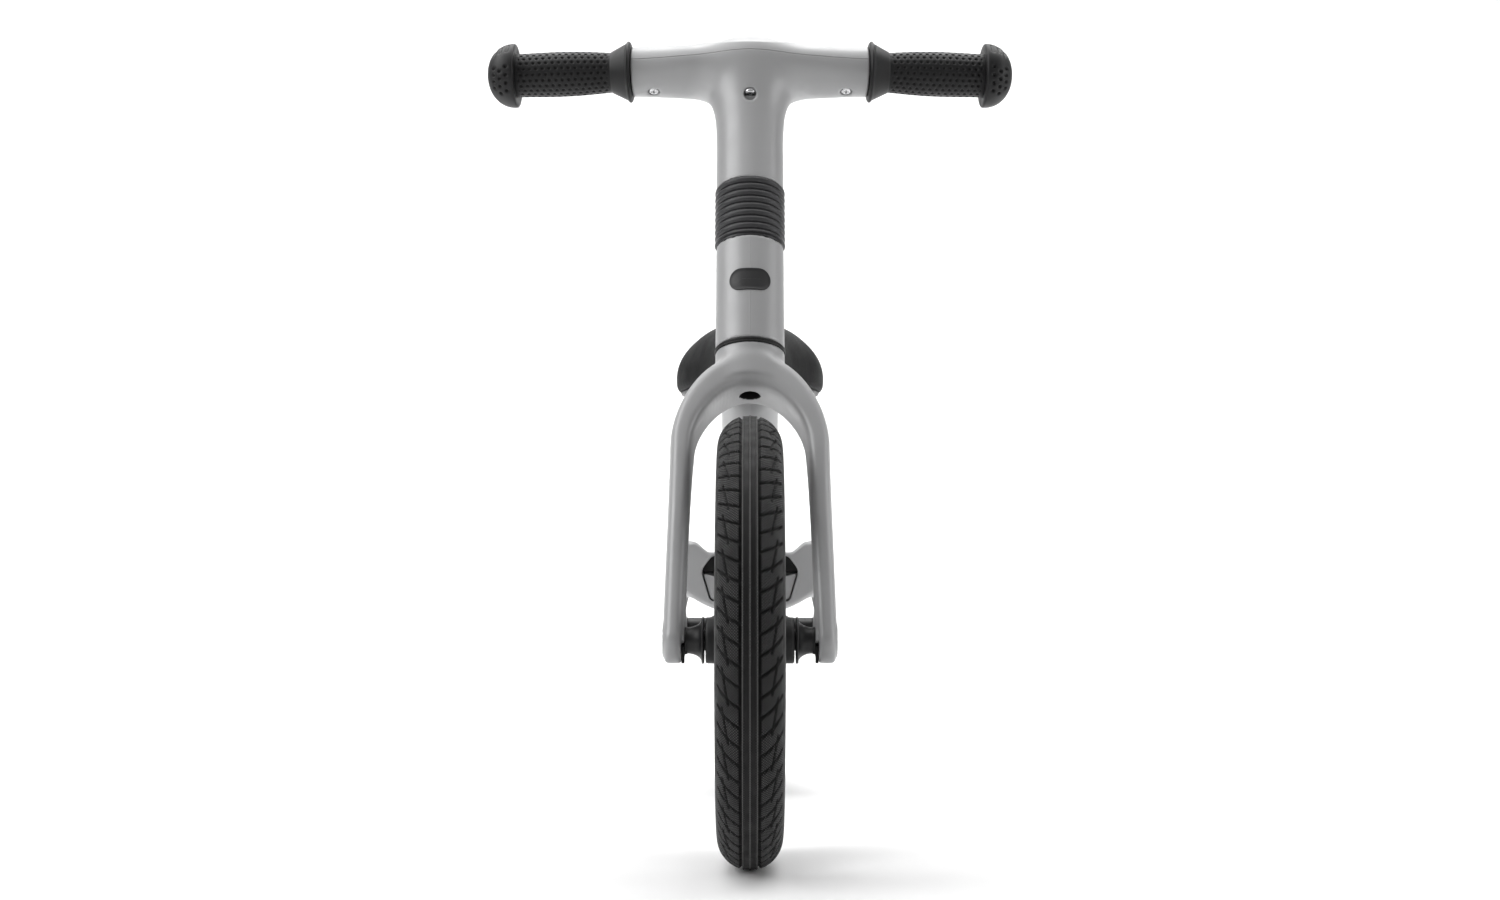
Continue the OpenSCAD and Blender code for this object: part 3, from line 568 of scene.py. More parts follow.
PAINT = grey_paint("grey_paint")
PAINT_PARTED = grey_paint("grey_paint_parted", parting=True)
TYRE = tyre_look()
GRIP = rubber("grip_rubber", (0.008, 0.008, 0.0085), 0.02, 0.48, pit_painted_shade=True)
BELLOWS = rubber("bellows_rubber", (0.04, 0.04, 0.042), 0.07, 0.38)
SEAL = rubber("seal_rubber", 0.008, 0.02, 0.55)
TUBE = rubber("tube_rubber", 0.012, 0.03, 0.6)
PAD = rubber("pad_rubber", 0.01, 0.03, 0.68)
WHEEL = plastic("wheel_plastic", (0.01, 0.01, 0.0105), 0.025, 0.48)
BLACK = plastic("black_plastic", (0.007, 0.007, 0.0075), 0.02, 0.42)
BADGE = plastic("badge_plastic", (0.025, 0.025, 0.026), 0.045, 0.4)
SADDLE = skin_look()
STEEL = metal("steel", (0.6, 0.6, 0.61), 0.3, turned=True)
BEARING = metal("bearing_steel", (0.66, 0.66, 0.68), 0.2)
BRIGHT = metal("bright_zinc", (0.62, 0.62, 0.63), 0.2)
BLACK_STEEL = metal("black_oxide", (0.055, 0.055, 0.057), 0.36)
# Near-black for the walls of the fork's bore: painted shade in the hole
BORE_PAINTED_SHADE = rubber("bore_painted_shade", 0.008, 0.015, 0.7)
ANODISED = metal("black_anodised", (0.07, 0.07, 0.074), 0.34)


# ---- Frame casting ----

AXLE_R = REAR.translation / MM
HEAD_R = 24.5
HEAD_LOW = 213.0
HEAD_HIGH = 293.1
BEARING_SEAT_R = 20.9
STEERER_ROOM = 14.4
BOLT_HOLE_R = 4.2
BOLT_HEAD_ROOM = 8.5
SEAT_TUBE_R = 17.0
SEAT_TUBE_TOP = 92.0
YOKE_FRONT = 38.0
YOKE_BACK = 92.0


def beam_bar():
    start, towards = np.array((0, -178, 377)), np.array((0, -110, 310))
    t = np.linspace(-0.05, 1, 31)
    line = cubic(start, towards, (0, -45, 232), (0, 72, 192), t)
    beam = bar(line, (1, 0, 0), 21, lerp(31, 22.5, smooth(t * 1.3)), 2.6)
    way = (towards - start) / np.linalg.norm(towards - start)
    # The upper end is rounded off, so that it runs out into the back of the head tube
    return lambda p: meet(beam(p), (start - p) @ way + 4, 24)


def rear_arm_bar():
    t = np.linspace(0, 1, 30)
    line = cubic((56, 47, 201), (58, 110, 203), (67, 190, 158), (67, AXLE_R.y, AXLE_R.z), t)
    side = np.cross((0, 0, 1), np.gradient(line, axis=0))
    return bar(line, side, lerp(10.5, 7, smooth(t * 1.5)), lerp(20, 12.5, smooth(t * 1.2)), 2.8)


def pocket(p):
    """Field of the window beside the beam, seen from the front: its outer wall leans in downwards."""
    x, z = p[:, 0], p[:, 2]
    lower = ((x - 40.3) * 23 - (z - 199) * 6.9) / hypot(23, 6.9)
    upper = ((x - 40.3) * 12 + (z - 199) * 9) / hypot(12, 9)
    outer = meet(lower, upper, 4)
    return meet(np.maximum(outer, 20 - x), between(z, 174, 211.3), 3)


def frame_field():
    beam, arm = beam_bar(), rear_arm_bar()

    def field(row):
        p = one_side(row)
        head = to_local(STEER, p)
        post = to_local(POST, p)
        hub = to_local(REAR, p)
        x, y, z = p.T
        # Room for the fork's crown to turn in is taken out of the beam, under the head tube
        crown_room = rod(head, 40, HEAD_LOW - 70, HEAD_LOW)
        solid = meet(beam(p), -crown_room, 10)
        solid = merge(solid, rod(head, HEAD_R, HEAD_LOW, HEAD_HIGH, 0.8), 12)
        top = z - lerp(214.2, 222.4, smooth((x - 33) / 13))
        bowl = meet(np.hypot(x, z - 249.5) - 87, x - 67, 3)
        yoke = meet(meet(bowl, top, 3), between(y, YOKE_FRONT, YOKE_BACK), 4)
        solid = merge(solid, yoke, 7)
        solid = merge(solid, arm(p), 9)
        solid = merge(solid, rod(hub, 16, 60, 74, 2.5), 5)
        solid = merge(solid, rod(post, SEAT_TUBE_R, -30, SEAT_TUBE_TOP, 0.8), 9)
        return carved(
            solid,
            (rod(head, 17, HEAD_LOW - 60, HEAD_HIGH + 30), 1),
            (crown_room, 1),
            (rod(head, BEARING_SEAT_R, HEAD_LOW - 1, HEAD_LOW + 7, 0.3), 0.6),
            (rod(head, BEARING_SEAT_R, HEAD_HIGH - 7, HEAD_HIGH + 1, 0.3), 0.6),
            (rod(post, 12.8, -20, 200), 0.8),
            (meet(np.maximum(pocket(p), y - 52), 20 - x, 0.5), 1.6),
            (block(p, (20, 44.5, 198), (46, 200, 260), 1), 1.2),
            (rod(hub, BOLT_HOLE_R, 50, 90, 0.3), 0.6),
            (rod(hub, BOLT_HEAD_ROOM, 68, 90, 0.3), 0.8))
    return field


def pocket_panels():
    """Panels standing in the lower part of the windows, with a narrow groove left round them."""
    def field(p):
        x, y, z = p.T
        top = (z - 197.5 + (40 - x) * 0.3) * 0.96
        sides = meet(meet(pocket(p) + 1.1, top, 2.5), 22.0 - x, 1)
        return meet(sides, between(y, 40.2 + (z - 174) * 0.04, 52.5), 0.8)
    right = skin_of(field, (20, 39, 173), (42, 53, 200), 0.6)
    make("main_frame_window_panels", doubled(right, 0), ROW, "frame", PAINT, sharp=0)


def main_frame():
    low, high = (np.array(v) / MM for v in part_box("main_frame"))
    part = skin_of(frame_field(), low, high, 1.7)
    make("main_frame_casting", part, ROW, "frame", PAINT_PARTED, "main_frame", sharp=0)


# ---- Fork casting ----

FORK_TOP = 209.6
CROWN_MID = 191.3
FOOT_X = 50.5
FOOT_HALF = 7.3


def fork_bar():
    axle = np.array(to_local(STEER, np.array([np.array(FRONT.translation) / MM]))[0])
    foot = np.array((FOOT_X, axle[1], axle[2]))
    top = np.array((47.0, axle[1] * 0.3, 134.0))
    middle = np.array((0, 0, CROWN_MID))
    leg = cubic(foot, lerp(foot, top, 0.35) + (0.3, 0, 0), lerp(foot, top, 0.7) + (0.6, 0, 0), top,
                np.linspace(0, 1, 14))
    # Below the axle the leg ends round from the side and square, with soft corners, from in front
    drop = np.radians([80, 68, 56, 44, 32, 20, 10])
    toe = foot - np.outer(15.2 * np.sin(drop), (0, 0, 1))
    arch = cubic(top, top + (-0.6, -axle[1] * 0.12, 24), middle + (27, 0, 0), middle, np.linspace(0, 1, 22))
    line = np.concatenate((toe, leg[:-1], arch, (arch[-2] * (-1, 1, 1))[None]))
    side = np.cross((0, 1, 0), np.gradient(line, axis=0))
    rise = np.clip((line[:, 2] - axle[2]) / (CROWN_MID - axle[2]), 0, 1)
    half_side = lerp(FOOT_HALF, 13, rise ** 5)
    half_deep = lerp(13, 22.5, smooth(rise)) + 2.2 * (1 - smooth(rise * 3))
    half_side[:len(drop)] *= np.cos(drop) ** 0.3
    half_deep[:len(drop)] *= np.cos(drop)
    return bar(line, side, half_side, half_deep, lerp(2.7, 4.2, rise ** 3)), axle


def fork_field():
    blade, axle = fork_bar()

    def field(points):
        p = one_side(points)
        hub = np.column_stack((p[:, 1] - axle[1], p[:, 2] - axle[2], p[:, 0]))
        solid = merge(blade(p), rod(hub, 11, FOOT_X - FOOT_HALF, FOOT_X + FOOT_HALF, 1), 1)
        solid = merge(solid, rod(p, 24.6, CROWN_MID - 4, FORK_TOP, 0.8), 7)
        # The inner face steps back under the axle, for the tab of the washer
        recess = np.maximum(p[:, 0] - 45.4, p[:, 2] - axle[2] + 3)
        return carved(
            solid,
            (recess, 0.8),
            (rod(p, 7.25, 150, 200, 0.3), 1.2),
            (rod(p, STEERER_ROOM, 194.3, 230, 0.3), 0.6),
            (rod(hub, BOLT_HOLE_R, 35, 75, 0.3), 0.6),
            (rod(hub, BOLT_HEAD_ROOM, 51.8, 75, 0.3), 0.8))
    return field


def fork():
    part = skin_of(fork_field(), (-58, -42, -25), (58, 26, 211), 1.25)
    piece = make("fork_casting", part, STEER, "steering", PAINT, "fork", sharp=0)
    # The bore through the crown is painted near-black: painted shade for the dark hole
    mesh = piece.data
    mesh.materials.append(BORE_PAINTED_SHADE)
    middles = np.array([face.center for face in mesh.polygons]) / MM
    local = to_local(STEER, middles)
    bored = (np.hypot(local[:, 0], local[:, 1]) < 7.6) & (local[:, 2] < 195)
    mesh.polygons.foreach_set("material_index", bored.astype(np.int32))


# ---- Handlebar castings ----

BAR = 442.5
ARM_END = 88.2
STEM_R = 24.6
BELLOWS_TOP = 340.6
SEAM_HALF = 0.22
LIP = 2.5
GRIP_SWEEP = radians(3.5)
SCREW_X = 72.0
SCREW_Y = (SCREW_X - ARM_END) * tan(GRIP_SWEEP)
HOLE_WAY = np.array((0, -0.856, -0.517))
SCREWS = [(-SCREW_X, SCREW_Y, BAR - 15.5), (SCREW_X, SCREW_Y, BAR - 15.5), (0, -23.5, 411.5)]


def handlebar_field(points):
    p = one_side(points)
    x, y, s = p.T
    part_way = np.minimum(x / ARM_END, 1)
    deep = 18.5 + 9.2 * np.maximum(np.cos(pi / 2 * part_way), 0) ** 1.5
    size = np.hypot(y, s - BAR) + 1e-3
    arms = size - size / (np.hypot(y / deep, (s - BAR) / 18.5) + 1e-6)
    end = (x - ARM_END) * cos(GRIP_SWEEP) + y * sin(GRIP_SWEEP)
    arms = meet(arms, end, 1.5)
    stem = rod(p, STEM_R, BELLOWS_TOP, BAR, 0.8)
    across = np.hypot(x, y)
    swell = across - lerp(STEM_R - 5, 27.6, smooth((s - 372) / 56))
    dome = np.sqrt(across ** 2 + (s - 466.1 + 45) ** 2) - 45
    boss = meet(meet(swell, dome, 4), 372 - s, 1)
    solid = merge(merge(arms, stem, 24), boss, 6)
    turned = np.column_stack((y + (x - ARM_END) * tan(GRIP_SWEEP), s - BAR, x))
    side, middle = (p - spot for spot in SCREWS[1:])
    # The middle screw sits at the back of a hole that opens forwards and down
    q = middle + (0, 0, 1.8)
    along = q @ HOLE_WAY
    hole = np.maximum(np.sqrt(np.maximum((q ** 2).sum(1) - along ** 2, 0)) - 4.7, -along)
    return carved(
        solid,
        (rod(turned, 11.2, 50, 200, 0.3), 0.8),
        (rod(p, STEERER_ROOM, 300, 405, 0.5), 0.8),
        (rod(side, 4.6, -14, -0.6, 0.3), 0.9),
        (np.minimum(hole, rod(middle, 4.5, -3, -0.6, 0.3)), 0.9))


def cut_half(part, level, keep_above):
    """The half of a part above or below a level, with a lip turned inwards along the cut."""
    points, faces = part
    mesh = bpy.data.meshes.new("half")
    mesh.from_pydata(points.tolist(), [], faces.tolist())
    work = bmesh.new()
    work.from_mesh(mesh)
    bpy.data.meshes.remove(mesh)
    bmesh.ops.bisect_plane(work, geom=work.verts[:] + work.edges[:] + work.faces[:], dist=1e-4,
                           plane_co=(0, 0, level), plane_no=(0, 0, 1),
                           clear_inner=keep_above, clear_outer=not keep_above)
    rim = [e for e in work.edges if e.is_boundary]
    work.normal_update()
    normals = {v: v.normal.copy() for e in rim for v in e.verts}
    lip = bmesh.ops.extrude_edge_only(work, edges=rim)["geom"]
    for v in (v for v in lip if isinstance(v, bmesh.types.BMVert)):
        out = next(normals[e.other_vert(v)] for e in v.link_edges if e.other_vert(v) in normals)
        v.co -= Vector((out.x, out.y, 0)).normalized() * LIP
    return work


def handlebar():
    part = skin_of(handlebar_field, (-89, -31, 339), (89, 31, 467), 1.05)
    for node, level, keep_above in (("handlebar_body", BAR - SEAM_HALF, False),
                                    ("handlebar_cover", BAR + SEAM_HALF, True)):
        half = cut_half(part, level, keep_above)
        bmesh.ops.recalc_face_normals(half, faces=half.faces)
        mesh = bpy.data.meshes.new(node)
        half.to_mesh(mesh)
        half.free()
        mesh.transform(STEER)
        finished(node + "_casting", mesh, "steering", PAINT, node, 50)


def handlebar_screws():
    head = soften([(0.001, 3), (2, 3), (2, 0), (4, 0), (4, -1.4), (3.2, -2.4), (2.6, -2.4)], 0.4)
    screw = lathe(head + [(cross_slot(2.4, 0.55), -2.35), (cross_slot(1.9, 0.35), -0.9), (0.001, -0.9)], 96)
    part = join(*(moved(screw, spot) for spot in SCREWS))
    make("handlebar_screw_set", part, STEER, "steering", BRIGHT, "handlebar_screws")


# ---- Bellows, seal and badge ----

def bellows():
    low, pitch, ring, core = HEAD_HIGH + 0.3, 5.3, 2.45, 23.2
    outline = [(20.5, low), (core + 0.9, low), (core + 1.0, low + 1.4), (core - 0.3, low + 1.7)]
    for k in range(8, -1, -1):
        centre = BELLOWS_TOP - ring - k * pitch
        for a in np.radians(np.linspace(-78, 78, 11)):
            if centre + ring * sin(a) > low + 1.8:
                outline.append((core + ring * cos(a), centre + ring * sin(a)))
    outline += [(core - 0.2, BELLOWS_TOP), (20.5, BELLOWS_TOP)]
    make("steerer_bellows", lathe(outline, 128, wrap=True), STEER, "steering", BELLOWS, "bellows", sharp=60)


def seal_ring():
    out, high = 25.2, HEAD_LOW - 0.3
    outline = soften([(STEERER_ROOM, FORK_TOP), (out, FORK_TOP), (out, FORK_TOP + 1.2),
                      (out - 0.5, FORK_TOP + 1.5), (out, FORK_TOP + 1.8), (out, high),
                      (STEERER_ROOM, high)], 0.35)
    make("lower_seal", lathe(outline, 128, wrap=True), STEER, "steering", SEAL, "lower_seal_ring")


def badge():
    """Plain rounded plate bent round the head tube, with a raised rim and nothing on it."""
    half, ends, steps, middle = 7.0, 8.5, 160, 258
    lap = half * 2 + pi * ends
    run = np.arange(steps) / steps * 2 * lap
    turn = np.maximum(run % lap - half * 2, 0) / ends
    x = half - np.minimum(run % lap, half * 2) - ends * np.sin(turn)
    edge = np.column_stack((x, ends * np.cos(turn))) * np.where(run < lap, 1, -1)[:, None]
    core = np.column_stack((np.clip(edge[:, 0], -half, half), np.zeros(steps)))
    rows = [(0.0, 0.02), (0.0, 0.4), (0.25, 0.62), (0.6, 0.66), (0.9, 0.6)]
    rows += [(inset, 0.46) for inset in (1.2, 3, 6, 8.49)]
    points = []
    for inset, height in rows:
        flat = core + (edge - core) * (1 - inset / ends)
        turn, r = flat[:, 0] / HEAD_R, HEAD_R + height
        points.append(np.column_stack((r * np.sin(turn), -r * np.cos(turn), middle + flat[:, 1])))
    part = (np.concatenate(points), grid_faces(len(rows), steps))
    make("plain_badge", part, STEER, "frame", BADGE, "head_badge", sharp=50)


# ---- Grips ----

GRIP_L = 110.3
CAP_START = 87.5
CAP_R = 23.9


def barrel_radius(t):
    rising = lerp(14.8, 16.75, np.sin(np.pi / 2 * np.minimum(t / 0.55, 1)))
    falling = lerp(16.75, 16.2, smooth((t - 0.55) / 0.45))
    return np.where(t < 0.55, rising, falling)


def grip_surface():
    """The grip about its own axis: x up, y forwards, z out along the bar."""
    steps = 252
    low, flange, barrel_end, cap_top = 0.4, 15.5, CAP_START + 1.2, GRIP_L - 0.4
    rows = [(11.06, low), (19.4, low), (20.6, low + 0.15), (21.8, low + 0.6), (22.6, low + 1.3),
            (22.8, low + 2.0), (22.6, low + 2.7), (21.9, low + 3.2), (21.2, low + 3.7)]
    for t in np.linspace(0.1, 1, 14):
        rows.append((lerp(21.2, 15.4, t), lerp(low + 3.7, flange, t)))
    for z in np.arange(flange + 0.5, barrel_end, 0.5):
        rows.append((barrel_radius((z - flange) / (barrel_end - flange)), z))
    rows += [(17.4, CAP_START + 0.4), (20.5, CAP_START + 0.1), (22.3, CAP_START + 0.15),
             (23.3, CAP_START + 0.5), (23.8, CAP_START + 1.1), (CAP_R, CAP_START + 1.9)]
    dome = cap_top - CAP_START - 2.4
    for a in np.radians(np.linspace(3, 90, 46)[:-1]):
        rows.append((CAP_R * cos(a) ** 0.9, CAP_START + 2.4 + dome * sin(a)))
    rows += [(0.001, cap_top), (0.001, GRIP_L - 8), (11.06, GRIP_L - 8)]
    theta = np.tile(turns(steps), (len(rows), 1))
    r, z = (theta * 0 + column[:, None] for column in np.array(rows, float).T)

    # Staggered dimples all over the barrel
    pitch, count = 4.9, 24
    lane = theta / (2 * pi) * count
    row = np.round(lane)
    around = (lane - row) * 2 * pi / count * r
    shift = z - flange - 4 + (row % 2) * pitch / 2
    along = (shift + pitch / 2) % pitch - pitch / 2
    on_barrel = (z > flange + 2.2) & (z < CAP_START - 2.2) & (r < 18)
    dimple = np.where(on_barrel, smooth(1.6 * (1 - (around ** 2 + along ** 2) / 1.4 ** 2)), 0)
    r = r - 1.0 * dimple

    # Mould line along the barrel, a little above the front
    ridge = sum(np.exp(-((theta - radians(a)) * r / 0.35) ** 2) for a in (64, 244))
    r = r + np.where((z > flange) & (z < CAP_START), 0.25 * ridge, 0)

    # Slots across the upper front of the cap and holes in the lower front, and the same behind
    deepest = np.zeros(r.shape)
    up = z - CAP_START
    for turn in (0, pi):
        back = (theta - turn + pi) % (2 * pi) - pi
        for reach, at in ((8.0, 5.2), (6.8, 10.4), (5.6, 15.2)):
            away = np.hypot(np.maximum(np.abs((back - radians(52)) * r) - reach, 0), up - at)
            deepest = np.maximum(deepest, smooth(1.45 - away / 0.95))
        for column, j in np.ndindex(3, 4):
            a = radians(104 + j * 15 + (column % 2) * 7.5)
            away = np.hypot((back - a) * r, up - 5.4 - column * 4.8)
            deepest = np.maximum(deepest, smooth(1.5 - away / 1.25))
    inner = r - 1.6 * np.where((up > 2.2) & (r > 6), deepest, 0)
    # How far each point lies in a pit, which the look paints darker as shade
    pit_painted_shade = np.maximum(dimple, smooth((r - inner) / 1.2))
    points = np.stack((inner * np.cos(theta), inner * np.sin(theta), z), -1).reshape(-1, 3)
    skin = np.stack((theta, z, pit_painted_shade), -1).reshape(-1, 3)
    return (points, grid_faces(len(rows), steps, wrap=True)), skin


def grips():
    part, skin = grip_surface()
    origin = STEER @ Vector((ARM_END, 0, BAR))
    turn = STEER.to_3x3() * (1 / MM)
    out = turn @ Vector((cos(GRIP_SWEEP), sin(GRIP_SWEEP), 0))
    place = place_at(origin, out, UP)
    for side, mirrored in (("right", False), ("left", True)):
        make(side + "_grip_rubber", part, place, "steering", GRIP, side + "_grip", sharp=0,
             mirrored=mirrored, skin=skin)


# ---- Wheels ----

TYRE_MID = 127.4
TYRE_HALF = 21.6
WHEEL_R = TYRE_MID + TYRE_HALF
PITCHES = 74
HUB_HALF = 29.3


def tread_depth(around, across):
    """Depth of the tread pattern at a distance round the tyre and across it, in millimetres."""
    pitch = 2 * pi * WHEEL_R / PITCHES
    out = np.abs(across)

    def groove(distance, half, depth):
        return depth * smooth((half - np.abs(distance)) / (half * 0.7))

    depth = groove(out - 5.9, 1.1, 1.9)
    depth = np.maximum(depth, np.where(out < 5.2, 0.45 - 0.45 * smooth((0.75 - np.abs(out - 4.4)) / 0.35)
                                       - 0.45 * smooth((0.6 - out) / 0.3), 0))
    side = np.where(across > 0, 0.5, 0.0) * pitch
    slant = (out - 5.5) * 0.42 + 0.012 * (out - 5.5) ** 2
    phase = (around + slant + side) % pitch
    lateral = groove(np.minimum(phase, pitch - phase), 1.25, 2.0)
    lateral = lateral * smooth((out - 5.0) / 0.8) * smooth((25.0 - out) / 1.5)
    depth = np.maximum(depth, lateral)
    stage = ((around + side) / (2 * pitch)) % 1.0
    sipe = 19.4 - 5.6 * stage
    fade = smooth(stage / 0.06) * smooth((1 - stage) / 0.06)
    depth = np.maximum(depth, groove(out - sipe, 1.0, 1.5) * fade)
    return depth * smooth((26.5 - out) / 1.0)


def tyre_surface():
    """The tyre about its axle, with what the rubber's look needs: (round, across, tread) in millimetres.

    tread is 1 on the knurl, 0 in the grooves and on the walls, and 2 on the middle ridges; the look paints
    shade where it is 0 and a highlight on the ridges."""
    steps, smooth_wall = 1184, 99.0
    tread = np.linspace(-27.5, 27.5, 96) / TYRE_HALF
    wall = np.linspace(27.5 / TYRE_HALF, radians(148), 12)[1:]

    def outside(turn):
        return np.column_stack((TYRE_MID + TYRE_HALF * np.cos(turn), TYRE_HALF * np.sin(turn)))
    bead = [(106.5, 11.2), (103.0, 11.25), (101.75, 10.6), (101.75, 8.6), (103, 8.3), (108.5, 8.5)]
    inside = [(112.0, 11.5), (127.4, 17.6), (141.5, 0.0), (127.4, -17.6), (112.0, -11.5)]
    side = np.concatenate((outside(wall), bead))
    outline = np.concatenate((outside(tread), side, inside, side[::-1] * (1, -1)))
    lean, arc = np.zeros((len(outline), 1)), np.full((len(outline), 1), smooth_wall)
    lean[:len(tread), 0] = tread
    arc[:len(tread)] = lean[:len(tread)] * TYRE_HALF
    angle = turns(steps)
    cut = tread_depth(angle * WHEEL_R, arc)
    r = outline[:, :1] - cut * np.cos(lean)
    x = outline[:, 1:] - cut * np.sin(lean)
    points = np.stack((r * np.cos(angle), r * np.sin(angle), x), -1).reshape(-1, 3)
    knurl_and_painted_light = smooth((25.5 - np.abs(arc)) / 2) * smooth(1 - cut / 0.5)
    # The middle ridges get 2, which the look paints as a highlight
    knurl_and_painted_light = knurl_and_painted_light * np.where(np.abs(arc) < 5.2, 2, 1)
    skin = np.stack(np.broadcast_arrays(angle * WHEEL_R, arc, knurl_and_painted_light), -1).reshape(-1, 3)
    return (points, grid_faces(len(outline), steps, wrap=True)), skin


def spoke_field(p):
    """Hub, five spokes with a recessed panel on each face, and the inside of the rim."""
    x, y, z = p.T
    r = np.hypot(x, y)
    hub = rod(p, 15.3, -HUB_HALF, HUB_HALF, 1.0)
    collar = rod(p, 25, -9, 9, 1.5)
    # Spokes stand 36 degrees either side of up, then every 72 degrees
    sector = 2 * pi / 5
    away = np.arctan2(x, y) % sector - sector / 2
    along, aside = r * np.cos(away), np.abs(r * np.sin(away))
    half = lerp(8.5, 5.5, smooth((along - 17) / 33)) + lerp(0, 6.5, smooth((along - 50) / 44))
    spoke = meet(aside - half, np.abs(z) - 6, 1.6)
    spoke = meet(spoke, between(along, 15, 94), 0.5)
    panel = meet(aside - half + 2.6, 3.2 - np.abs(z), 0.8)
    panel = meet(panel, between(along, 30, 88), 2)
    spoke = meet(spoke, -panel, 0.8)
    ring = meet(np.abs(r - 94.2) - 1.4, np.abs(z) - 9, 0.6)
    solid = merge(merge(merge(hub, collar, 2.5), spoke, 4), ring, 4)
    bearing_seat = meet(r - 12, 23.3 - np.abs(z), 0.2)
    valve_hole = np.maximum(np.hypot(x, z) - 4.3, 80 - y)
    return carved(solid, (r - 9, 0.6), (bearing_seat, 0.5), (valve_hole, 0.6))


def rim():
    half = [(93.0, -8.0), (92.95, -11.5), (94.5, -13.8), (105.5, -13.8), (107.0, -13.0), (107.0, -12.1),
            (105.6, -11.7), (101.4, -11.6), (101.4, -8.4), (97.0, -7.4)]
    outline = half + [(r, -z) for r, z in half[::-1]]
    return lathe(soften(outline + outline[:1], 0.6), 160, wrap=True)


def stood_up(part):
    """A part turned from the axle's direction to point up from the middle of the wheel."""
    points, faces = part
    return points[:, [0, 2, 1]] * (1, 1, -1), faces


def valve_stem():
    """Inner tube and its stem."""
    outline = [(0.001, 72), (2.6, 72), (2.6, 76), (3.9, 76.4), (3.9, 92), (5.2, 97), (7, 108.5),
               (0.001, 108.5)]
    stem = lathe(soften(outline, 0.5), 48)
    tube = lathe([(TYRE_MID - 4.2 + 13 * cos(a), 13 * sin(a)) for a in turns(20)], 96, wrap=True)
    return join(stood_up(stem), tube)


def valve_cap():
    def ribs(angle):
        return 4.75 + 0.15 * np.sign(np.cos(angle * 16))
    outline = [(0.001, 70.4), (3.4, 70.4), (4.2, 70.9), (ribs, 71.6), (ribs, 78.4), (4.3, 79.2), (4.0, 79.4)]
    return stood_up(lathe(outline, 96))


def wheels():
    tyre, skin = tyre_surface()
    spokes = skin_of(spoke_field, (-97, -97, -30), (97, 97, 30), 1.6)
    for name, place in (("front", FRONT), ("rear", REAR)):
        body = name + "_wheel"
        make(name + "_tyre_rubber", tyre, place, body, TYRE, name + "_tyre", sharp=0, skin=skin)
        make(name + "_spokes", spokes, place, body, WHEEL, name + "_wheel", sharp=0)
        make(name + "_rim", rim(), place, body, WHEEL, sharp=35)
        make(name + "_tube_and_stem", valve_stem(), place, body, TUBE, name + "_inner_tube")
        make(name + "_valve_cap_ribbed", valve_cap(), place, body, BLACK, name + "_valve_cap")


# ---- Axle hardware ----

WASHER = 1.8


def washer_start(inner):
    """Where a washer begins, at a small gap from the inner face of its leg or arm."""
    return inner - 0.1 - WASHER


def axle_spacer(inner):
    end, cone = washer_start(inner), HUB_HALF + 1
    outline = [(6.1, HUB_HALF), (6.8, HUB_HALF), (6.8, cone), (14.9, cone), (15.5, cone + 0.5),
               (15.5, cone + 1.2), (15.0, cone + 1.7)]
    for a in np.radians(np.linspace(6, 90, 12)):
        outline.append((8.7 + 6.0 * (1 - sin(a)), cone + 1.6 + 9.5 * (1 - cos(a))))
    outline += [(8.7, end - 0.3), (8.4, end), (6.1, end)]
    return doubled(lathe(outline, 96, wrap=True))


def tab_washer(inner, step):
    """Washer with a tab that points down, about the axle's axis, bent outwards by a step."""
    start = washer_start(inner)

    def field(p):
        x, y, z = p.T
        r, aside = np.hypot(x, y), np.abs(x) - 5.5
        flat = between(z, start, start + WASHER)
        low = start + step * smooth((-3 - y) / 9)
        bent = between(z, low, start + WASHER + step)
        disc = meet(between(r, 6.05, 9), flat, 0.5)
        tab = meet(np.maximum(aside, between(y, -15, -3.4)), bent, 0.5)
        neck = meet(np.maximum(aside, np.abs(y + 6) - 3), flat, 0.5)
        return np.minimum(np.minimum(disc, tab), neck)
    high = (10.5, 10.5, start + WASHER + step + 0.5)
    return doubled(skin_of(field, (-10.5, -16.5, start - 0.5), high, 0.45))


def axle_bolt(inner, wall):
    face = inner + wall - 6
    outline = soften([(0.001, inner - 16), (3.4, inner - 16), (4, inner - 15.2), (4, face), (7.5, face),
                      (7.5, face + 4.2), (6.4, face + 5), (3.6, face + 5)], 0.35)
    outline += [(hexagon(3.0), face + 4.7), (hexagon(2.9), face + 2), (0.001, face + 1.4)]
    return doubled(lathe(outline, 96))


def axle_hardware():
    sides = (("front", FRONT, "steering", 43.2, 14.6, 2.1), ("rear", REAR, "frame", 60.0, 14.0, 0.0))
    for name, place, body, inner, wall, step in sides:
        washers = tab_washer(inner, step)
        make(name + "_spacer_cones", axle_spacer(inner), place, body, BLACK, name + "_axle_spacers")
        make(name + "_washers_tabbed", washers, place, body, BLACK, name + "_tab_washers", sharp=45)
        make(name + "_bolts", axle_bolt(inner, wall), place, body, BLACK_STEEL, name + "_axle_bolts")


# ---- Footrest pads ----

def footrest_pads():
    low, high = (v.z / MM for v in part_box("footrest_pads"))
    ribs, pitch, first = 9, 5.0, 47.9

    def field(p):
        x, y, z = p.T
        base = block(p, (21.4, 44.7, low), (45.4, 90.7, high - 1.4), 1.5)
        nearest = first + pitch * np.clip(np.round((y - first) / pitch), 0, ribs - 1)
        rib = np.hypot(y - nearest, (z - high + 1.6) * 0.8) - 1.3
        rib = meet(rib, between(x, 22.8, 44), 1)
        return merge(base, rib, 0.7)
    left = skin_of(field, (20.5, 44, low - 1), (46.5, 91.5, high + 0.5), 0.6)
    make("footrest_pad_pair", doubled(left, 0), ROW, "frame", PAD, "footrest_pads", sharp=0)


# ---- Seat clamp and post ----

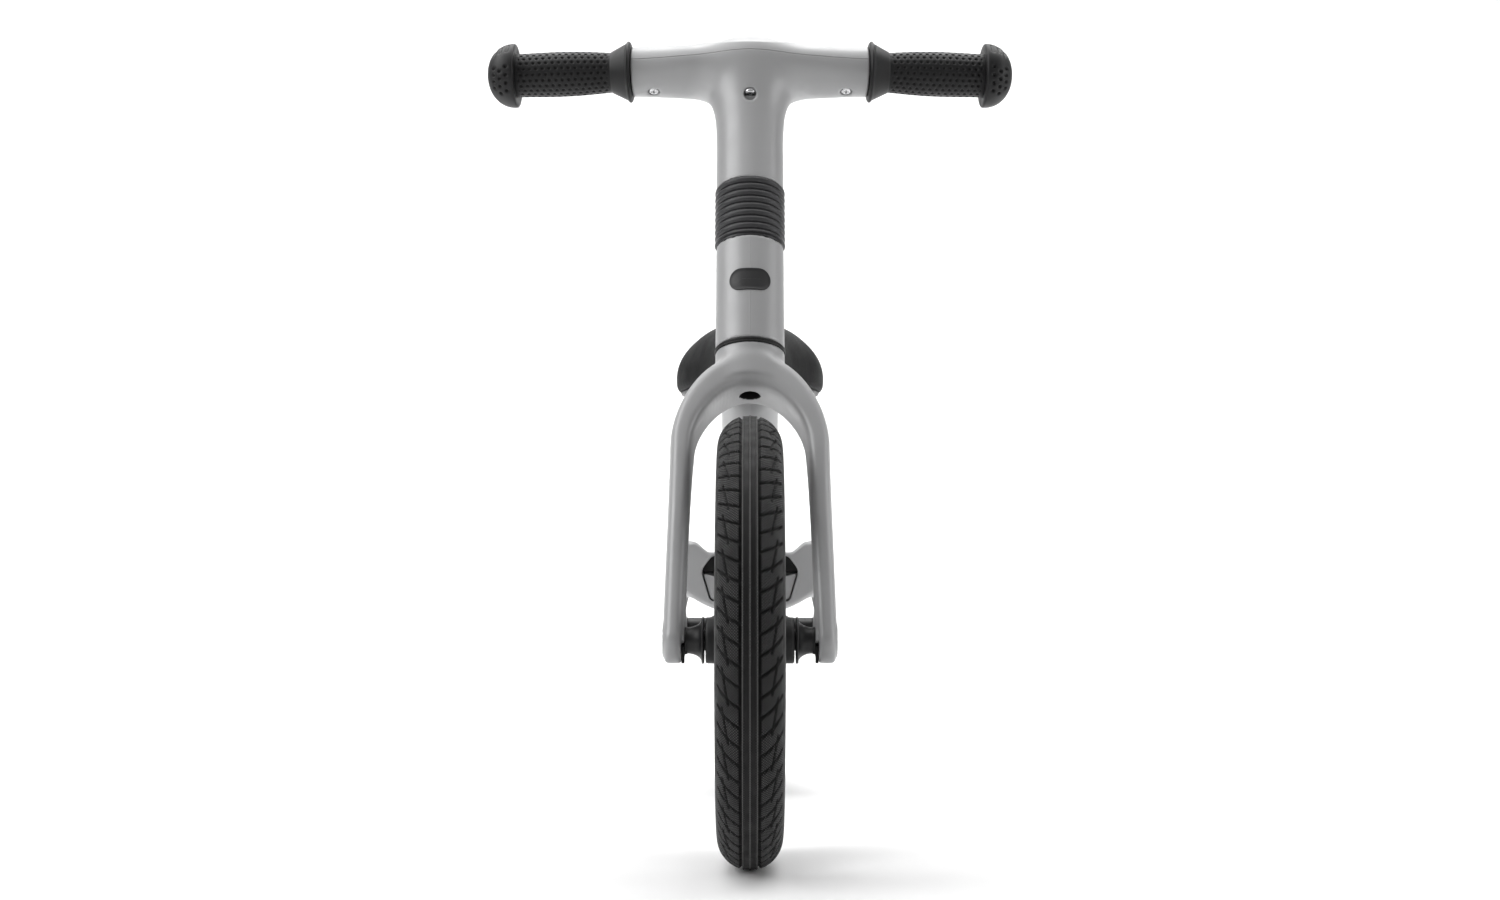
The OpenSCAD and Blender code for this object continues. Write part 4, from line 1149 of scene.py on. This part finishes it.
def seat_clamp():
    top, height, ear_y = SEAT_TUBE_TOP, 18.0, 26.5

    def field(p):
        x, y, z = p.T
        level = np.abs(z - top + height / 2)
        ring = np.hypot(x, y) - 21.5
        ears = np.maximum(np.abs(x) - 9, between(y, 18, 32))
        flat = merge(ring, meet(ears, y - 31.8, 3), 3)
        groove = np.maximum(level - 2.2, 20.9 - np.hypot(x, y))
        return carved(
            meet(flat, level - height / 2, 1.2),
            (np.maximum(groove, y - 15), 0.8),
            (np.hypot(x, y) - 17.05, 0.4),
            (np.maximum(np.abs(x) - 1.5, 5 - y), 0.4),
            (np.hypot(y - ear_y, level) - 2.55, 0.4))
    part = skin_of(field, (-22, -22, top - height - 0.5), (22, 33, top + 0.5), 0.7)
    make("seat_clamp_collar", part, POST, "frame", BLACK, "seat_clamp", sharp=0)

    place = POST @ Matrix.Translation((0, ear_y, top - height / 2)) @ Matrix.Rotation(pi / 2, 4, "Y")
    outline = [(0.001, -13), (hexagon(4.3), -13), (hexagon(4.6), -12.5), (hexagon(4.6), -9), (2.5, -9),
               (2.5, 9), (4.2, 9), (4.3, 9.4), (4.3, 13.2), (3.7, 14), (2.6, 14), (hexagon(2.3), 13.8),
               (hexagon(2.2), 11), (0.001, 10.6)]
    make("seat_clamp_bolt_socket", lathe(outline, 96), place, "frame", BRIGHT, "seat_clamp_bolt")


def seat_post():
    outline = soften([(10.9, -6), (12.7, -6), (12.7, 118), (3.4, 118), (3.4, 114.5), (10.9, 114.5)], 0.5)
    tube = lathe(outline + outline[:1], 128, wrap=True)
    make("seat_post_tube", tube, POST, "saddle", ANODISED, "seat_post")


# ---- Saddle ----

SADDLE_LOW, SADDLE_HIGH = (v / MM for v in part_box("saddle_cover"))
SADDLE_MID_Y = lerp(SADDLE_LOW.y, SADDLE_HIGH.y, 0.7)
SADDLE_STEPS = 144


def saddle_outline():
    """Plan outline from the nose round to the back and along the other side, widest two thirds back."""
    angle = turns(SADDLE_STEPS)
    t = 0.5 - 0.5 * np.cos(angle)
    width = lerp(30, 64.5, smooth((t - 0.15) / 0.6))
    width = width * np.maximum(1 - np.abs(2 * t - 1) ** 3.4, 0) ** 0.5
    half = (SADDLE_HIGH.x - SADDLE_LOW.x) / 2
    width = width / width.max() * half
    return np.sign(np.sin(angle)) * width, SADDLE_LOW.y + (SADDLE_HIGH.y - SADDLE_LOW.y) * t, t


def shrunk(x, y, share, height):
    """The saddle's outline at a height, drawn in towards its middle to a share of its size."""
    return np.column_stack((x * share, SADDLE_MID_Y + (y - SADDLE_MID_Y) * share, height + 0 * x))


def pulled_in(x, y, pull, height):
    """The saddle's outline at a height, pulled in towards its middle by a distance."""
    return shrunk(x, y, 1 - pull / np.maximum(np.hypot(x, y - SADDLE_MID_Y), 1), height)


def saddle_surface():
    x, y, t = saddle_outline()
    mid = lerp(375, 368, smooth(t * 1.3))
    under = SADDLE_LOW.z + 1.2 + 9 * (1 - smooth(t / 0.33))
    facing = np.abs(y - SADDLE_MID_Y) / np.maximum(np.hypot(x, y - SADDLE_MID_Y), 1e-6)
    power = 2.0 + 2.2 * facing ** 2
    rows = []
    for share in np.sin(np.linspace(0.0, pi / 2, 34)):
        row = shrunk(x, y, share, 0)
        along = np.clip((row[:, 1] - SADDLE_LOW.y) / (SADDLE_HIGH.y - SADDLE_LOW.y), 0, 1)
        hollow = 3 * smooth((0.95 - along) * 3) * smooth(along * 3)
        crown = SADDLE_HIGH.z - 1.5 - 11 * (1 - smooth(along * 1.25)) - hollow
        middle = lerp(375, 368, smooth(along * 1.3)) * (1 - share ** 4) + mid * share ** 4
        row[:, 2] = lerp(middle, crown, np.sqrt(np.maximum(1 - share ** power, 0)))
        rows.append(row)
    for drop, pull in ((0.3, 0.0), (0.55, 0.3), (0.75, 1.0), (0.9, 2.2), (0.97, 3.4), (1.0, 5.0)):
        rows.append(pulled_in(x, y, pull, lerp(mid, under, drop)))
    rows += [shrunk(x, y, share, under) for share in (0.8, 0.5, 0.2, 0.001)]
    return np.concatenate(rows), grid_faces(len(rows), SADDLE_STEPS)


def saddle():
    piece = make("saddle_cushion", saddle_surface(), ROW, "saddle", SADDLE, "saddle_cover", sharp=0)
    finer = piece.modifiers.new("finer", "SUBSURF")
    finer.levels = finer.render_levels = 1
    # Edge of the hard shell under the cushion
    x, y, t = saddle_outline()
    under = SADDLE_LOW.z - 2 + 9 * (1 - smooth(t / 0.33))
    edge = ((7.5, 3.2), (4.4, 3.2), (4.0, 2.2), (4.8, 0.8), (7.0, 0.2), (16, 0.0), (16, 3.2))
    rows = [pulled_in(x, y, pull, under + rise) for pull, rise in edge]
    part = (np.concatenate(rows), grid_faces(len(rows), SADDLE_STEPS, wrap=True))
    make("saddle_shell_edge", part, ROW, "saddle", BLACK, sharp=50)


def saddle_base():
    screws = [(16.0, 78.0), (34.0, 160.0)]
    top = SADDLE_LOW.z

    def field(p):
        p = one_side(p)
        x, y, z = p.T
        post = to_local(POST, p)
        across, along = np.abs(post[:, :2]).T
        r, above = np.hypot(across, along), z - top
        half = np.interp(y, (62, 120, 160, 190), (20, 44, 49, 38))
        plate = meet((x - half) * 0.9, between(y, 62, 190), 8)
        plate = meet(plate, between(above, -5, 0), 1)
        socket = meet(r - 19, 96 - post[:, 2], 1)
        webs = meet(np.minimum(across, along) - 1.5, np.maximum(r - 27, across - 19.5), 1)
        webs = np.maximum(webs, 104 - post[:, 2])
        solid = merge(plate, np.maximum(socket, above), 4)
        solid = merge(solid, np.maximum(webs, above + 1), 1.5)
        holes = ((np.hypot(x - sx, y - sy) - 2.15, 0.4) for sx, sy in screws)
        return carved(solid, (rod(post, 12.75, 60, 118, 0.3), 0.6), *holes)
    part = skin_of(field, (-50, 61, 312), (50, 191, top + 0.5), 1.1)
    make("saddle_base_plate", part, ROW, "saddle", BLACK, "saddle_base", sharp=0)
    head = soften([(0.001, 5), (2.1, 5), (2.1, 0), (4, 0), (4, -1.6), (3.2, -2.4), (2.2, -2.4)], 0.35)
    screw = lathe(head + [(hexagon(1.8), -2.3), (hexagon(1.7), -1.0), (0.001, -0.8)], 48)
    part = join(*(moved(screw, (side * sx, sy, top - 5)) for sx, sy in screws for side in (-1, 1)))
    make("saddle_screw_set", part, ROW, "saddle", BLACK_STEEL, "saddle_screws")


def carried_over():
    """Looks for the CAD pieces whose shape is right as it is."""
    looks = {
        STEEL: "front_axle rear_axle steerer_tube steerer_spacer steerer_plug steerer_top_bolt"
               " left_grip_tube right_grip_tube",
        BEARING: "upper_steering_bearing lower_steering_bearing front_bearings rear_bearings",
    }
    for look, names in looks.items():
        for name in names.split():
            mesh = frame["nodes"][name].data
            mesh.materials.clear()
            mesh.materials.append(look)


# ---- Studio ----

def studio():
    """Pale floor that curves up into a backdrop, and soft lights from the left, above and the right."""
    run = [(-4.0, 0.0), (2.2, 0.0)]
    for a in np.radians(np.linspace(0, 90, 13)[1:]):
        run.append((2.2 + 1.2 * sin(a), 1.2 - 1.2 * cos(a)))
    run.append((3.4, 5.0))
    points = [(x, y, z) for y, z in run for x in (-6.0, 6.0)]
    faces = [(2 * k, 2 * k + 1, 2 * k + 3, 2 * k + 2) for k in range(len(run) - 1)]
    mesh = bpy.data.meshes.new("floor")
    mesh.from_pydata(points, [], faces)
    mesh.polygons.foreach_set("use_smooth", [True] * len(mesh.polygons))
    floor = added("floor", mesh)
    look = Look("studio_floor", 0.86, 0.8)
    look.colour(look.mix(look.noise(1.5, 2), 0.85, 0.87))
    mesh.materials.append(look.material)

    world = bpy.data.worlds.new("studio")
    world.use_nodes = True
    bpy.context.scene.view_settings.view_transform = "Standard"
    backdrop = world.node_tree.nodes["Background"]
    backdrop.inputs["Color"].default_value = (1, 1, 1, 1)
    backdrop.inputs["Strength"].default_value = 0.24
    bpy.context.scene.world = world

    for name, where, target, size, power in (
        ("key", (-2.0, -0.9, 1.6), (0, -0.1, 0.3), 1.8, 34),
        ("top", (-0.1, 0.1, 2.3), (0, -0.1, 0.3), 2.8, 44),
        ("fill", (2.3, -0.5, 0.8), (0, -0.1, 0.3), 1.2, 13),
        ("wall", (0.0, 0.9, 2.4), (0, 3.2, 0.7), 3.2, 115),
    ):
        light = bpy.data.lights.new(name, "AREA")
        light.energy, light.size = power, size
        lamp = added(name, light)
        lamp.location = where
        lamp.rotation_euler = (Vector(target) - Vector(where)).to_track_quat("-Z", "Y").to_euler()


def camera():
    """In front of the bike, at the height of its frame and tilted a little upwards."""
    lens = bpy.data.cameras.new("camera")
    lens.lens, lens.sensor_width = 48.41, 36.0
    eye = added("camera", lens)
    eye.location = (0, FRONT.translation.y - 1.341, 0.179)
    eye.rotation_euler = (radians(90 + 4.11), 0, 0)
    bpy.context.scene.camera = eye


camera()
studio()
main_frame()
pocket_panels()
fork()
handlebar()
handlebar_screws()
bellows()
seal_ring()
badge()
grips()
wheels()
axle_hardware()
footrest_pads()
seat_clamp()
seat_post()
saddle()
saddle_base()
carried_over()
